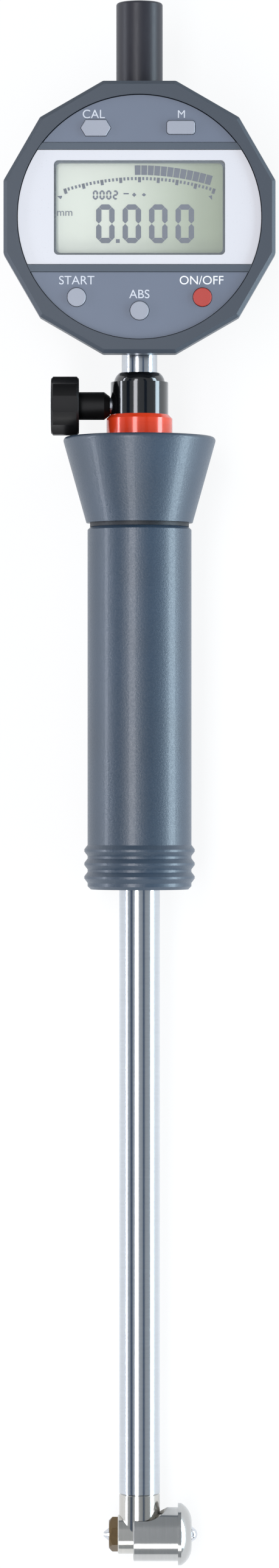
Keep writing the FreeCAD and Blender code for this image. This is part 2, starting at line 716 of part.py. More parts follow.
def hand_guard():
    """Flared guard: a straight cone with a rounded rim, a dished top, and a hub on the handle's tube."""
    flare = (GUARD_RIM_R - GUARD_FOOT_R) / GUARD_HEIGHT
    dish = GUARD_TOP - GUARD_DISH
    roof = dish - GUARD_WALL
    turn = math.atan(flare)
    round_r = GUARD_RIM_ROUND
    centre = Vector(GUARD_RIM_R - round_r, GUARD_TOP - round_r, 0)
    start = centre + Vector(round_r * math.cos(turn), -round_r * math.sin(turn), 0)
    middle = centre + Vector(round_r * math.cos(math.pi / 5), round_r * math.sin(math.pi / 5), 0)
    end = Vector(centre.x, GUARD_TOP, 0)
    foot_r = start.x - flare * (start.y - GUARD_START)
    roof_r = foot_r - GUARD_WALL + flare * (roof - GUARD_START)
    points = [(GUARD_RIM_R - GUARD_LIP, GUARD_TOP), (GUARD_RIM_R - GUARD_LIP - GUARD_DISH, dish)]
    points += [(GUARD_HUB_R + GUARD_DISH, dish), (GUARD_HUB_R, GUARD_TOP), (TUBE_R, GUARD_TOP)]
    points += [(TUBE_R, GUARD_START), (GUARD_HUB_R, GUARD_START), (GUARD_HUB_R, roof), (roof_r, roof)]
    points += [(foot_r - GUARD_WALL, GUARD_START), (foot_r, GUARD_START)]
    corners = [end] + [Vector(r, y, 0) for r, y in points] + [start]
    rim = Part.Arc(start, middle, end).toShape()
    face = Part.Face(Part.Wire([*Part.makePolygon(corners).Edges, rim]))
    return face.revolve(Vector(0, 0, 0), Y_AXIS, 360)


def colour_ring():
    """Anodised ring between the guard and the clamp collar, its upper edge chamfered."""
    return turned(
        [
            (TUBE_R, GUARD_TOP),
            (RING_R, GUARD_TOP),
            (RING_R, COLLAR_FOOT - RING_CHAMFER),
            (RING_R - RING_CHAMFER, COLLAR_FOOT),
            (TUBE_R, COLLAR_FOOT),
        ]
    )


# ---------------------------------------------------------------- clamp
def clamp_collar():
    """Collar that holds the indicator's stem: a spigot down in the tube, a body and a rounded shoulder."""
    shoulder = COLLAR_FOOT + COLLAR_BODY
    bore_r = STEM_R + RUNNING
    spigot_foot = COLLAR_FOOT - COLLAR_SPIGOT
    points = [(COLLAR_TOP_R, COLLAR_TOP), (bore_r, COLLAR_TOP), (bore_r, spigot_foot)]
    points += [(TUBE_TOP_BORE_R, spigot_foot), (TUBE_TOP_BORE_R, COLLAR_FOOT), (COLLAR_R, COLLAR_FOOT)]
    points += [(COLLAR_R, shoulder), (COLLAR_SHOULDER_R, shoulder)]
    start = Vector(COLLAR_SHOULDER_R, shoulder, 0)
    end = Vector(COLLAR_TOP_R, COLLAR_TOP, 0)
    bulge = (COLLAR_SHOULDER_R - COLLAR_TOP_R) / 5
    middle = (start + end) * 0.5 + Vector(bulge, bulge / 2, 0)
    line = Part.makePolygon([Vector(r, y, 0) for r, y in points])
    face = Part.Face(Part.Wire([*line.Edges, Part.Arc(start, middle, end).toShape()]))
    collar = face.revolve(Vector(0, 0, 0), Y_AXIS, 360)
    return collar.cut(rod_across(SCREW_R + RUNNING, -COLLAR_R - CUT, 0, CLAMP_Y))


def clamp_pad():
    """Brass pad at the screw's end, hollowed to the stem."""
    left = -STEM_R - RUNNING - PAD_THICKNESS
    pad = rod_across(SCREW_R - RUNNING, left, 0, CLAMP_Y)
    return pad.cut(rod_up(STEM_R + RUNNING, CLAMP_Y - SCREW_R - CUT, CLAMP_Y + SCREW_R + CUT))


def clamp_screw():
    """Threaded shank from the pad into the knob."""
    right = -STEM_R - RUNNING - PAD_THICKNESS
    return rod_across(SCREW_R, -KNOB_START - KNOB_LENGTH / 2, right, CLAMP_Y)


def clamp_knob():
    """Moulded knob: a cone and hub towards the collar, then a head with shallow flutes."""
    end = -KNOB_START - KNOB_LENGTH
    knob = turned_across(
        [
            (-SCREW_NECK_START, SCREW_R),
            (-SCREW_NECK_START, SCREW_R + SEAM_CHAMFER),
            (-HUB_START, HUB_R),
            (-KNOB_START, HUB_R),
            (-KNOB_START, KNOB_R - KNOB_EDGE),
            (-KNOB_START - KNOB_TAPER, KNOB_R),
            (end + KNOB_EDGE, KNOB_R),
            (end, KNOB_R - KNOB_EDGE),
            (end, INSERT_R),
            (end + INSERT_DEPTH, INSERT_R),
            (end + INSERT_DEPTH, 0),
            (-KNOB_START - KNOB_LENGTH / 2, 0),
            (-KNOB_START - KNOB_LENGTH / 2, SCREW_R),
        ],
        CLAMP_Y,
    )
    flutes = []
    reach = KNOB_R - KNOB_FLUTE_DEPTH + KNOB_FLUTE_R
    for step in range(KNOB_FLUTES):
        turn = (step + 0.5) * 2 * math.pi / KNOB_FLUTES
        y = CLAMP_Y + reach * math.cos(turn)
        flutes.append(rod_across(KNOB_FLUTE_R, end - CUT, -KNOB_START + FREE_GAP, y, reach * math.sin(turn)))
    return knob.cut(flutes)


def knob_insert():
    """Pale domed insert in the knob's outer end."""
    end = -KNOB_START - KNOB_LENGTH
    ball_r = (INSERT_R**2 + INSERT_DOME**2) / (2 * INSERT_DOME)
    ball = Part.makeSphere(ball_r, Vector(end - INSERT_DOME + ball_r, CLAMP_Y, 0), X_AXIS)
    return ball.common(rod_across(INSERT_R, end - INSERT_DOME - CUT, end + INSERT_DEPTH, CLAMP_Y))


# ---------------------------------------------------------------- indicator housing
def in_housing(shape):
    """Moves a shape drawn about the housing's middle to its place on the gauge."""
    return shape.translated(Vector(0, HOUSING_Y, 0))


def cover_screw_places():
    """The four corners that carry the cover's screws."""
    side = COVER_SCREW_PLACE * math.sqrt(0.5)
    return [(side, side), (-side, side), (-side, -side), (side, -side)]


def main_housing():
    """Twelve-sided moulding: bezel in front, narrower body behind, a cavity, and bosses for all it holds."""
    bezel = twelve_sided(APOTHEM, BEZEL_BACK, FRONT)
    bezel = bezel.makeFillet(CORNER_R, edges_along_z(bezel))
    bezel = bezel.makeChamfer(BEZEL_CHAMFER, edges_at_z(bezel, FRONT))
    body = twelve_sided(BODY_APOTHEM, -BODY_BACK, BEZEL_BACK)
    body = body.makeFillet(CORNER_R, edges_along_z(body))
    cavity = disc(CAVITY_R, -BODY_BACK - CUT, FRONT + CUT)
    shell = bezel.fuse(body).cut([cavity, disc(FACE_R, CARRIER_SEAT, FRONT + CUT)])
    wall = BODY_APOTHEM - SEAM_CHAMFER
    stem_top = STEM_BOSS_TOP - BODY_APOTHEM
    upper_foot = BODY_APOTHEM - UPPER_BOSS_DEPTH
    lower = block(-STEM_BOSS_HALF, STEM_BOSS_HALF, -wall, stem_top, -BOSS_BACK, BOSS_TOP)
    upper = block(-UPPER_BOSS_HALF, UPPER_BOSS_HALF, upper_foot, wall, -BOSS_BACK, BOSS_TOP)
    lugs = []
    for foot, top in ((-wall, -LUG_REACH), (LUG_REACH, wall)):
        lugs.append(block(GUIDE_X - GUIDE_LUG, GUIDE_X + GUIDE_LUG, foot, top, -GUIDE_LUG, GUIDE_LUG))
    places = cover_screw_places()
    posts = [disc(COVER_BOSS_R, -BODY_BACK, COVER_BOSS_LENGTH - BODY_BACK, x, y) for x, y in places]
    within = twelve_sided(wall, -BODY_BACK, BEZEL_BACK)
    shell = shell.fuse(lower.fuse([upper, *lugs, *posts]).common(within))
    guide_reach = LUG_REACH + GUIDE_LUG * 2
    depth = COVER_SCREW_LENGTH - (COVER_BACK - COVER_SCREW_HEAD - BODY_BACK)
    cuts = [
        rod_up(STEM_R, -APOTHEM - CUT, stem_top + CUT),
        rod_up(STEM_BORE_R, upper_foot - CUT, BODY_APOTHEM + CUT),
        rod_up(GUIDE_R, -guide_reach, guide_reach, GUIDE_X),
    ]
    cuts += [disc(COVER_SCREW_R, -BODY_BACK - CUT, depth - BODY_BACK, x, y) for x, y in places]
    return in_housing(shell.cut(cuts))


def cover_gasket():
    """Flat seal between the housing and its back cover."""
    seal = twelve_sided(BODY_APOTHEM - GASKET_INSET, -COVER_FRONT, -BODY_BACK)
    return in_housing(seal.cut(disc(CAVITY_R, -COVER_FRONT - CUT, CUT - BODY_BACK)))


def back_cover():
    """Flat back with a locating lip, a battery opening and four counterbored screw holes."""
    plate = twelve_sided(BODY_APOTHEM, -COVER_BACK, -COVER_FRONT)
    plate = plate.makeFillet(CORNER_R, edges_along_z(plate))
    plate = plate.makeChamfer(COVER_CHAMFER, edges_at_z(plate, -COVER_BACK))
    lip_top = COVER_LIP - COVER_FRONT
    lip = disc(CAVITY_R - LIP_GAP, -COVER_FRONT, lip_top)
    room = disc(DOOR_R + HOLDER_WALL + BATTERY_GAP, -COVER_FRONT, lip_top + CUT)
    places = cover_screw_places()
    posts = [disc(COVER_BOSS_R + LIP_GAP, -COVER_FRONT, lip_top + CUT, x, y) for x, y in places]
    cover = plate.fuse(lip.cut([room, *posts]))
    cuts = [disc(DOOR_R + RUNNING, -COVER_BACK - CUT, CUT - COVER_FRONT)]
    head_seat = COVER_SCREW_HEAD - COVER_BACK
    for x, y in places:
        cuts.append(disc(COVER_SCREW_R + RUNNING, -COVER_BACK - CUT, CUT - COVER_FRONT, x, y))
        cuts.append(disc(COVER_SCREW_HEAD_R + RUNNING, -COVER_BACK - CUT, head_seat, x, y))
    return in_housing(cover.cut(cuts))


def cover_screws():
    """Four pan screws, their heads sunk in the cover."""
    screws = []
    foot = COVER_SCREW_HEAD - COVER_BACK
    for x, y in cover_screw_places():
        head = disc(COVER_SCREW_HEAD_R, SEAM_CHAMFER - COVER_BACK, foot, x, y)
        screws.append(head.fuse(disc(COVER_SCREW_R, foot, foot + COVER_SCREW_LENGTH, x, y)))
    return in_housing(group(screws))


# ---------------------------------------------------------------- battery
def battery_door():
    """Round door with a coin slot, and a boss that carries the cell."""
    door = disc(DOOR_R, -COVER_BACK, DOOR_THICKNESS - COVER_BACK)
    door = door.fuse(disc(DOOR_BOSS_R, DOOR_THICKNESS - COVER_BACK, -COVER_FRONT))
    half_length, half_width = DOOR_SLOT_LENGTH / 2, DOOR_SLOT_WIDTH / 2
    bottom = DOOR_SLOT_DEPTH - COVER_BACK
    slot = block(-half_length, half_length, -half_width, half_width, -COVER_BACK - CUT, bottom)
    return in_housing(door.cut(slot))


def battery():
    """Coin cell on the door's boss."""
    foot = PUSH_GAP - COVER_FRONT
    return in_housing(disc(BATTERY_R, foot, foot + BATTERY_THICKNESS))


def battery_holder():
    """Cup inside the cover that locates the cell and carries its contact leaf."""
    rim = -COVER_FRONT
    under_roof = rim + PUSH_GAP + BATTERY_THICKNESS + LEAF_THICKNESS
    outside = disc(DOOR_R + HOLDER_WALL, rim, under_roof + HOLDER_ROOF)
    inside = disc(BATTERY_R + BATTERY_GAP, rim - CUT, under_roof)
    return in_housing(outside.cut(inside))


def battery_contact():
    """Contact leaf between the cell and the holder's roof."""
    foot = PUSH_GAP + BATTERY_THICKNESS - COVER_FRONT
    half_length, half_width = LEAF_LENGTH / 2, LEAF_WIDTH / 2
    return in_housing(block(-half_length, half_length, -half_width, half_width, foot, foot + LEAF_THICKNESS))


# ---------------------------------------------------------------- dial side
BUTTON_PLACES = {
    "cal": CAL_PLACE,
    "mode": MODE_PLACE,
    "start": START_PLACE,
    "abs": ABS_PLACE,
    "power": POWER_PLACE,
}


def button_outline(name, grow, back, front):
    """One button's shape in the dial's plane, grown all round."""
    x, y = BUTTON_PLACES[name]
    if name == "cal":
        width, height = CAL_SIZE
        half_w, half_h = width / 2 + grow, height / 2 + grow
        nose = half_h * 3 / 5
        right = [(x + half_w - nose, y - half_h), (x + half_w, y), (x + half_w - nose, y + half_h)]
        left = [(x - half_w + nose, y + half_h), (x - half_w, y), (x - half_w + nose, y - half_h)]
        return prism(right + left, back, front)
    if name == "mode":
        size = (MODE_SIZE[0] + 2 * grow, MODE_SIZE[1] + 2 * grow)
        return rounded_rectangle(size, MODE_CORNER_R + grow, back, front, x, y)
    return disc(ROUND_BUTTON_R + grow, back, front, x, y)


def button(name):
    """A push button: a cap through the dial, a flange that keeps it in, and a stem over its switch."""
    top = FACE + BUTTON_PROUD
    flange_top = CARRIER_SEAT - PUSH_GAP
    flange_back = flange_top - BUTTON_FLANGE_THICKNESS
    cap = button_outline(name, 0.0, flange_back, top)
    cap = cap.makeChamfer(BUTTON_ROUND, edges_at_z(cap, top))
    flange = button_outline(name, BUTTON_FLANGE, flange_back, flange_top)
    foot = SWITCH_TOP + BUTTON_TRAVEL + PUSH_GAP
    stem_rod = disc(SWITCH_R, foot, flange_top, *BUTTON_PLACES[name])
    return in_housing(cap.fuse([flange, stem_rod]).removeSplitter())


def dial_carrier():
    """Dark disc behind the dial with two raised bars, the display's opening, button holes and board posts."""
    radius = FACE_R - FACE_GAP
    bar_top = FACE + BAR_PROUD
    plate = disc(radius, CARRIER_SEAT, PLATE_BACK)
    bars = []
    for foot, top in ((DISPLAY_TOP, UPPER_CHORD), (LOWER_CHORD, DISPLAY_BOTTOM)):
        bar = block(-radius, radius, foot, top, PLATE_BACK, bar_top)
        bars.append(bar.common(disc(radius, PLATE_BACK, bar_top)))
    posts = [disc(POST_R, BOARD_FRONT, CARRIER_SEAT, x, y) for x, y in POST_PLACES]
    size = (WINDOW_WIDTH - 2 * WINDOW_LEDGE, WINDOW_HEIGHT - 2 * WINDOW_LEDGE)
    opening = rounded_rectangle(size, WINDOW_CORNER_R, CARRIER_SEAT - CUT, FACE + CUT, 0, WINDOW_MIDDLE)
    cuts = [button_outline(name, BUTTON_GAP, CARRIER_SEAT - CUT, FACE + CUT) for name in BUTTON_PLACES]
    screw_end = BOARD_BACK + POST_SCREW_LENGTH
    cuts += [disc(POST_SCREW_R, BOARD_FRONT - CUT, screw_end, x, y) for x, y in POST_PLACES]
    return in_housing(plate.fuse([*bars, *posts]).cut([opening, *cuts]))


def face_plate(foot, top, names):
    """One printed plate of the dial, kept between two chords and pierced for its buttons."""
    keep = block(-APOTHEM, APOTHEM, foot, top, PLATE_BACK, FACE)
    plate = disc(FACE_R - FACE_GAP - PLATE_GAP, PLATE_BACK, FACE).common(keep)
    holes = [button_outline(name, BUTTON_GAP, PLATE_BACK - CUT, FACE + CUT) for name in names]
    return in_housing(plate.cut(holes))


def upper_face_plate():
    """Upper segment of the dial, above the bar."""
    return face_plate(UPPER_CHORD + PLATE_GAP, APOTHEM, ("cal", "mode"))


def lower_face_plate():
    """Lower segment of the dial, below the bar."""
    return face_plate(-APOTHEM, LOWER_CHORD - PLATE_GAP, ("start", "abs", "power"))


def display_surround():
    """Pale band across the dial, between the bars, around the window."""
    foot, top = DISPLAY_BOTTOM + PLATE_GAP, DISPLAY_TOP - PLATE_GAP
    keep = block(-APOTHEM, APOTHEM, foot, top, PLATE_BACK, FACE)
    band = disc(FACE_R - FACE_GAP - PLATE_GAP, PLATE_BACK, FACE).common(keep)
    size = (WINDOW_WIDTH, WINDOW_HEIGHT)
    window = rounded_rectangle(size, WINDOW_CORNER_R, PLATE_BACK - CUT, FACE + CUT, 0, WINDOW_MIDDLE)
    return in_housing(band.cut(window))


def display_window():
    """Clear pane on the carrier's ledge."""
    size = (WINDOW_WIDTH - 2 * WINDOW_FIT, WINDOW_HEIGHT - 2 * WINDOW_FIT)
    corner = WINDOW_CORNER_R - WINDOW_FIT
    return in_housing(rounded_rectangle(size, corner, PLATE_BACK, FACE - PLATE_GAP, 0, WINDOW_MIDDLE))


def lcd_panel():
    """Display cell behind the carrier's opening."""
    half_w, half_h = LCD_WIDTH / 2, LCD_HEIGHT / 2
    foot, top = WINDOW_MIDDLE - half_h, WINDOW_MIDDLE + half_h
    return in_housing(block(-half_w, half_w, foot, top, LCD_BACK, CARRIER_SEAT))


def lcd_connectors():
    """Two elastic contact strips between the display and the board."""
    half_w = LCD_WIDTH / 2 - CONNECTOR_INSET
    low = WINDOW_MIDDLE - LCD_HEIGHT / 2 + CONNECTOR_INSET
    high = WINDOW_MIDDLE + LCD_HEIGHT / 2 - CONNECTOR_INSET - CONNECTOR_WIDTH
    strips = [block(-half_w, half_w, y, y + CONNECTOR_WIDTH, BOARD_FRONT, LCD_BACK) for y in (low, high)]
    return in_housing(group(strips))


def circuit_board():
    """Round board on the carrier's posts."""
    board = disc(BOARD_R, BOARD_BACK, BOARD_FRONT)
    hole_r = POST_SCREW_R + RUNNING
    return in_housing(board.cut([disc(hole_r, BOARD_BACK - CUT, BOARD_FRONT + CUT, x, y) for x, y in POST_PLACES]))


def board_screws():
    """Four small screws through the board into the carrier's posts."""
    screws = []
    for x, y in POST_PLACES:
        shank = disc(POST_SCREW_R, BOARD_BACK, BOARD_BACK + POST_SCREW_LENGTH, x, y)
        screws.append(shank.fuse(disc(POST_SCREW_HEAD_R, BOARD_BACK - POST_SCREW_HEAD, BOARD_BACK, x, y)))
    return in_housing(group(screws))


def button_switches():
    """Five snap switches on the board, one under each button."""
    places = BUTTON_PLACES.values()
    return in_housing(group([disc(SWITCH_R, BOARD_FRONT, SWITCH_TOP, x, y) for x, y in places]))


# ---------------------------------------------------------------- indicator works
def stem():
    """Clamping stem, pressed into the housing's lower boss."""
    return turned(
        [
            (STEM_BORE_R, STEM_FOOT),
            (STEM_R - SEAM_CHAMFER, STEM_FOOT),
            (STEM_R, STEM_FOOT + SEAM_CHAMFER),
            (STEM_R, STEM_TOP),
            (STEM_BORE_R, STEM_TOP),
        ]
    )


def stem_bushes():
    """Spindle bushes at both ends of the stem."""
    bushes = []
    for foot in (STEM_FOOT, STEM_TOP - STEM_BUSH_LENGTH):
        top = foot + STEM_BUSH_LENGTH
        bushes.append(rod_up(STEM_BORE_R, foot, top).cut(rod_up(SPINDLE_R + RUNNING, foot - CUT, top + CUT)))
    return group(bushes)


def upper_bush():
    """Spindle bush in the housing's upper boss, with a nipple outside that the cap screws on to."""
    foot = BODY_TOP - UPPER_BOSS_DEPTH
    nipple = BODY_TOP + UPPER_NIPPLE
    return turned(
        [
            (SPINDLE_R + RUNNING, foot),
            (STEM_BORE_R, foot),
            (STEM_BORE_R, BODY_TOP),
            (UPPER_NIPPLE_R, BODY_TOP),
            (UPPER_NIPPLE_R, nipple),
            (SPINDLE_R + RUNNING, nipple),
        ]
    )


def spindle():
    """Measuring spindle, from its contact point up through the housing into the cap."""
    return rod_up(SPINDLE_R, SPINDLE_FOOT, SPINDLE_TOP)


def contact_point():
    """Contact point below the spindle, ending in a ball."""
    ball_centre = POINT_FOOT + POINT_BALL_R
    cone = turned(
        [
            (0, ball_centre),
            (POINT_BALL_R - SEAM_CHAMFER, ball_centre),
            (SPINDLE_R, SPINDLE_FOOT - POINT_LENGTH / 3),
            (SPINDLE_R, SPINDLE_FOOT),
            (0, SPINDLE_FOOT),
        ]
    )
    return cone.fuse(Part.makeSphere(POINT_BALL_R, Vector(0, ball_centre, 0))).removeSplitter()


def spindle_carrier():
    """Block fixed on the spindle: it carries the scale, and its fork rides on the guide pin."""
    outside = GUIDE_X + FORK_OUTSIDE
    low, high = CARRIER_FOOT - CUT, CARRIER_TOP + CUT
    body = block(-CARRIER_LEFT, outside, CARRIER_FOOT, CARRIER_TOP, -CARRIER_BACK, CARRIER_FRONT)
    slot_half = GUIDE_R + RUNNING
    fork = block(GUIDE_X - slot_half, outside + CUT, low, high, -slot_half, slot_half)
    return body.cut([rod_up(SPINDLE_R, low, high), fork])


def measuring_scale():
    """Scale strip on the front of the carrier."""
    middle = (CARRIER_FOOT + CARRIER_TOP) / 2
    half_w, half_l = SCALE_WIDTH / 2, SCALE_LENGTH / 2
    front = CARRIER_FRONT + SCALE_THICKNESS
    return block(-half_w, half_w, middle - half_l, middle + half_l, CARRIER_FRONT, front)


def reading_head():
    """Reader chip on the back of the board, over the scale."""
    middle = (CARRIER_FOOT + CARRIER_TOP) / 2
    half_w, half_l = READER_WIDTH / 2, READER_LENGTH / 2
    return block(-half_w, half_w, middle - half_l, middle + half_l, BOARD_BACK - READER_THICKNESS, BOARD_BACK)


def guide_pin():
    """Pin beside the spindle that keeps it from turning, held in two lugs."""
    reach = LUG_REACH + GUIDE_LUG * 2
    return rod_up(GUIDE_R, HOUSING_Y - reach, HOUSING_Y + reach, GUIDE_X)


def spindle_spring():
    """Spring about the spindle, from the upper boss down on to the carrier."""
    top = BODY_TOP - UPPER_BOSS_DEPTH
    return coil_up(SPINDLE_SPRING_R, SPINDLE_SPRING_WIRE, SPINDLE_SPRING_TURNS, CARRIER_TOP, top)


def spindle_cap():
    """Closed cap over the spindle's upper end, screwed on the nipple."""
    cap = turned(
        [
            (UPPER_NIPPLE_R, BODY_TOP),
            (CAP_R, BODY_TOP),
            (CAP_R, CAP_TOP),
            (0, CAP_TOP),
            (0, CAP_TOP - CAP_ROOF),
            (UPPER_NIPPLE_R, CAP_TOP - CAP_ROOF),
        ]
    )
    rim = [e for e in cap.Edges if e.BoundBox.YMin > CAP_TOP - SEAM_CHAMFER and len(e.Vertexes) == 1]
    return cap.makeFillet(CAP_EDGE_R, rim)


PIECES = {
    "head_body": head_body,
    "bell_crank": bell_crank,
    "pivot_pin": pivot_pin,
    "contact_bush": contact_bush,
    "measuring_contact": measuring_contact,
    "centring_sleeve": centring_sleeve,
    "sleeve_pin": sleeve_pin,
    "sleeve_spring": sleeve_spring,
    "anvil": anvil,
    "lock_nut": lock_nut,
    "shaft_tube": shaft_tube,
    "shaft_guides": shaft_guides,
    "push_rod": push_rod,
    "rod_collar": rod_collar,
    "rod_spring": rod_spring,
    "handle_guide": handle_guide,
    "handle_tube": handle_tube,
    "grip_sleeve": grip_sleeve,
    "guard_spacer": guard_spacer,
    "hand_guard": hand_guard,
    "colour_ring": colour_ring,
    "clamp_collar": clamp_collar,
    "clamp_pad": clamp_pad,
    "clamp_screw": clamp_screw,
    "clamp_knob": clamp_knob,
    "knob_insert": knob_insert,
    "main_housing": main_housing,
    "cover_gasket": cover_gasket,
    "back_cover": back_cover,
    "cover_screws": cover_screws,
    "battery_door": battery_door,
    "battery": battery,
    "battery_holder": battery_holder,
    "battery_contact": battery_contact,
    "dial_carrier": dial_carrier,
    "upper_face_plate": upper_face_plate,
    "lower_face_plate": lower_face_plate,
    "display_surround": display_surround,
    "display_window": display_window,
    "lcd_panel": lcd_panel,
    "lcd_connectors": lcd_connectors,
    "circuit_board": circuit_board,
    "board_screws": board_screws,
    "button_switches": button_switches,
    "reading_head": reading_head,
    "stem": stem,
    "stem_bushes": stem_bushes,
    "upper_bush": upper_bush,
    "spindle": spindle,
    "contact_point": contact_point,
    "spindle_carrier": spindle_carrier,
    "measuring_scale": measuring_scale,
    "guide_pin": guide_pin,
    "spindle_spring": spindle_spring,
    "spindle_cap": spindle_cap,
}


def rest_pitch():
    """Angle, in radians, that brings the guard's rounded rim level with the flange at the head."""
    rim_y = GUARD_TOP - GUARD_RIM_ROUND
    rim_drop = GUARD_RIM_R - GUARD_RIM_ROUND
    reach = math.hypot(rim_y, rim_drop)
    return math.atan2(rim_drop, rim_y) - math.asin((FLANGE_R - GUARD_RIM_ROUND) / reach)


def at_rest(shape):
    """Tips a piece by the rest pitch, lifts it on to the floor and centres the gauge along Y."""
    pitch = rest_pitch()
    far_end = CAP_TOP * math.cos(pitch) + (CAP_R - CAP_EDGE_R) * math.sin(pitch)
    laid = shape.copy()
    laid.rotate(Vector(0, 0, 0), X_AXIS, math.degrees(pitch))
    laid.translate(Vector(0, (FLANGE_R - far_end) / 2, FLANGE_R))
    return laid


def main():
    """Builds every piece and writes one STEP file for each."""
    os.makedirs("parts", exist_ok=True)
    pieces = {name: build() for name, build in PIECES.items()}
    pieces |= {f"button_{name}": button(name) for name in BUTTON_PLACES}
    for name, shape in pieces.items():
        at_rest(shape).exportStep(f"parts/{name}.step")


main()
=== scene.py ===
"""Dresses the dial bore gauge: surface finishes, display and button marks, stage, light and camera."""

import json
import math

import bpy
import numpy as np
from mathutils import Matrix, Vector


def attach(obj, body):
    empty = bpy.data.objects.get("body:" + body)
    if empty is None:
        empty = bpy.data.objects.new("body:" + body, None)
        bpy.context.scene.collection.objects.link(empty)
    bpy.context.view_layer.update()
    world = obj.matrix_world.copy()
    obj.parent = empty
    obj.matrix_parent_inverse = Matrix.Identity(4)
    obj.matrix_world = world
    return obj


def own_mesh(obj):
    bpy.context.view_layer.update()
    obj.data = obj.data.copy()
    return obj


bl_info = {
    "name": "Dial bore gauge",
    "version": (1, 0, 0),
    "blender": (4, 5, 0),
    "location": "3D View > Sidebar > Gauge",
    "description": "Finishes, display marks and studio stage for a dial bore gauge",
    "category": "Object",
}

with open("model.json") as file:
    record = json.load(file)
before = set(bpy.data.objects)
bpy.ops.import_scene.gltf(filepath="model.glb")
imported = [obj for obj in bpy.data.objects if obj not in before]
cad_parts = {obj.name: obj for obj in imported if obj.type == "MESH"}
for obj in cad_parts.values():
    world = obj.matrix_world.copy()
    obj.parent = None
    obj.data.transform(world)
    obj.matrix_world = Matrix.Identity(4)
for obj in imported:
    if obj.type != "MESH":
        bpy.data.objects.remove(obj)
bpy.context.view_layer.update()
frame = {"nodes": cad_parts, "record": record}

JOINTS = {joint["name"]: joint for joint in frame["record"]["behaviour"]["joints"]}
MOUNTS = {mount["name"]: mount for mount in frame["record"]["mounts"]}
ALONG = Vector(JOINTS["rod_slide"]["axis"])
OUT = -Vector(JOINTS["start_press"]["axis"])
HEAD = Vector(MOUNTS["measuring_axis"]["pos_m"])
DIAL = Vector(JOINTS["indicator_turn"]["pos_m"])
TURN = Matrix((Vector((1, 0, 0)), ALONG, OUT)).transposed()
MM = 0.001

MARK_DEPTH = 0.03  # thickness of a printed or lit mark, in millimetres
ARC_TOP = 8.9  # the scale's arc at its highest, above the middle of the housing
SCALE_REACH = 17.0  # the scale's strokes to either side of its middle
FIRST_DIGIT, DIGIT_FOOT = -9.75, -5.65  # left edge and foot of the large digits
SENSOR = 36.0  # long side of the camera's sensor
FLOOR_HALF = 2.5  # half the floor's side, in metres


def gauge_point(x, y, z):
    """A place in the gauge's straight frame, in millimetres from the measuring axis, as a world point."""
    return HEAD + TURN @ (Vector((x, y, z)) * MM)


def linear(colour):
    """Display colour from 0 to 255 turned into scene-linear values."""
    part = np.asarray(colour, float) / 255
    return tuple(np.where(part <= 0.04045, part / 12.92, ((part + 0.055) / 1.055) ** 2.4)) + (1.0,)


# ---------------------------------------------------------------- settings
def tone(name, about, colour):
    """A colour setting, given in display values."""
    return bpy.props.FloatVectorProperty(
        name=name, description=about, default=linear(colour), size=4, min=0, max=1, subtype="COLOR"
    )


def length(name, about, value):
    """A size setting in millimetres."""
    return bpy.props.FloatProperty(name=name, description=about, default=value, min=0, soft_max=100)


class GAUGE_PG_finish(bpy.types.PropertyGroup):
    """Colours of the visible pieces."""

    grip: tone("Grip", "Moulded grip and guard", (33, 48, 62))
    housing: tone("Housing", "Bezel and body of the indicator", (57, 65, 75))
    plates: tone("Face plates", "Upper and lower segments of the dial", (104, 112, 127))
    surround: tone("Display surround", "Pale band around the window", (212, 210, 212))
    cap: tone("Cap", "Cover over the spindle", (40, 39, 44))
    ring: tone("Ring", "Anodised ring below the clamp", (240, 70, 30))
    knob: tone("Knob", "Clamp knob", (14, 13, 13))
    collar: tone("Collar", "Clamp collar", (8, 9, 11))
    steel: tone("Steel", "Polished shaft and head", (205, 209, 214))
    # The display's left and right tones paint a reflection: lighter at the left edge, greener at the right.
    glass_reflection_left: tone("Display, left", "Display's tone at its left edge", (215, 217, 202))
    glass_reflection_right: tone("Display, right", "Display's tone at its right edge", (139, 150, 118))
    ink: tone("Display marks", "Dark segments of the display", (46, 55, 84))
    print_tone: tone("Words", "Print beside the buttons", (206, 209, 216))


class GAUGE_PG_marks(bpy.types.PropertyGroup):
    """Sizes of the marks, in millimetres."""

    digit_width: length("Digit width", "Width of one large digit", 4.15)
    digit_height: length("Digit height", "Height of one large digit", 8.7)
    digit_pitch: length("Digit pitch", "From one large digit to the next", 5.95)
    digit_stroke: length("Stroke", "Width of one segment", 1.2)
    display_level: length("Display level", "Front of the display cell", 8.41)
    face_level: length("Face level", "Front of the face plates", 10.9)
    print_height: length("Word height", "Size of the words beside the buttons", 2.75)
    arc_radius: length("Arc radius", "Radius of the display's scale", 54.9)


class GAUGE_PG_stage(bpy.types.PropertyGroup):
    """Camera and light."""

    distance: bpy.props.FloatProperty(
        name="Camera distance", description="From the gauge's axis", default=1.2, unit="LENGTH"
    )
    field: bpy.props.FloatProperty(
        name="Field height", description="Long side of the view at the axis", default=0.3543, unit="LENGTH"
    )
    lamp: bpy.props.FloatProperty(name="Lamp level", description="Scales every lamp", default=1.0, min=0)
    room: bpy.props.FloatProperty(name="Room level", description="Light from all round", default=0.46, min=0)


# ---------------------------------------------------------------- shader groups
def group_io(tree, inputs, outputs):
    """Sockets of a node group, as (name, kind, default)."""
    for name, kind, value in inputs:
        socket = tree.interface.new_socket(name, in_out="INPUT", socket_type=kind)
        if value is not None:
            socket.default_value = value
    for name, kind in outputs:
        tree.interface.new_socket(name, in_out="OUTPUT", socket_type=kind)
    return tree.nodes.new("NodeGroupInput"), tree.nodes.new("NodeGroupOutput")


def noise(tree, vector, scale, detail):
    """A noise texture on the given coordinates, with its scale from a socket."""
    node = tree.nodes.new("ShaderNodeTexNoise")
    node.inputs["Detail"].default_value = detail
    tree.links.new(vector, node.inputs["Vector"])
    tree.links.new(scale, node.inputs["Scale"])
    return node.outputs["Fac"]


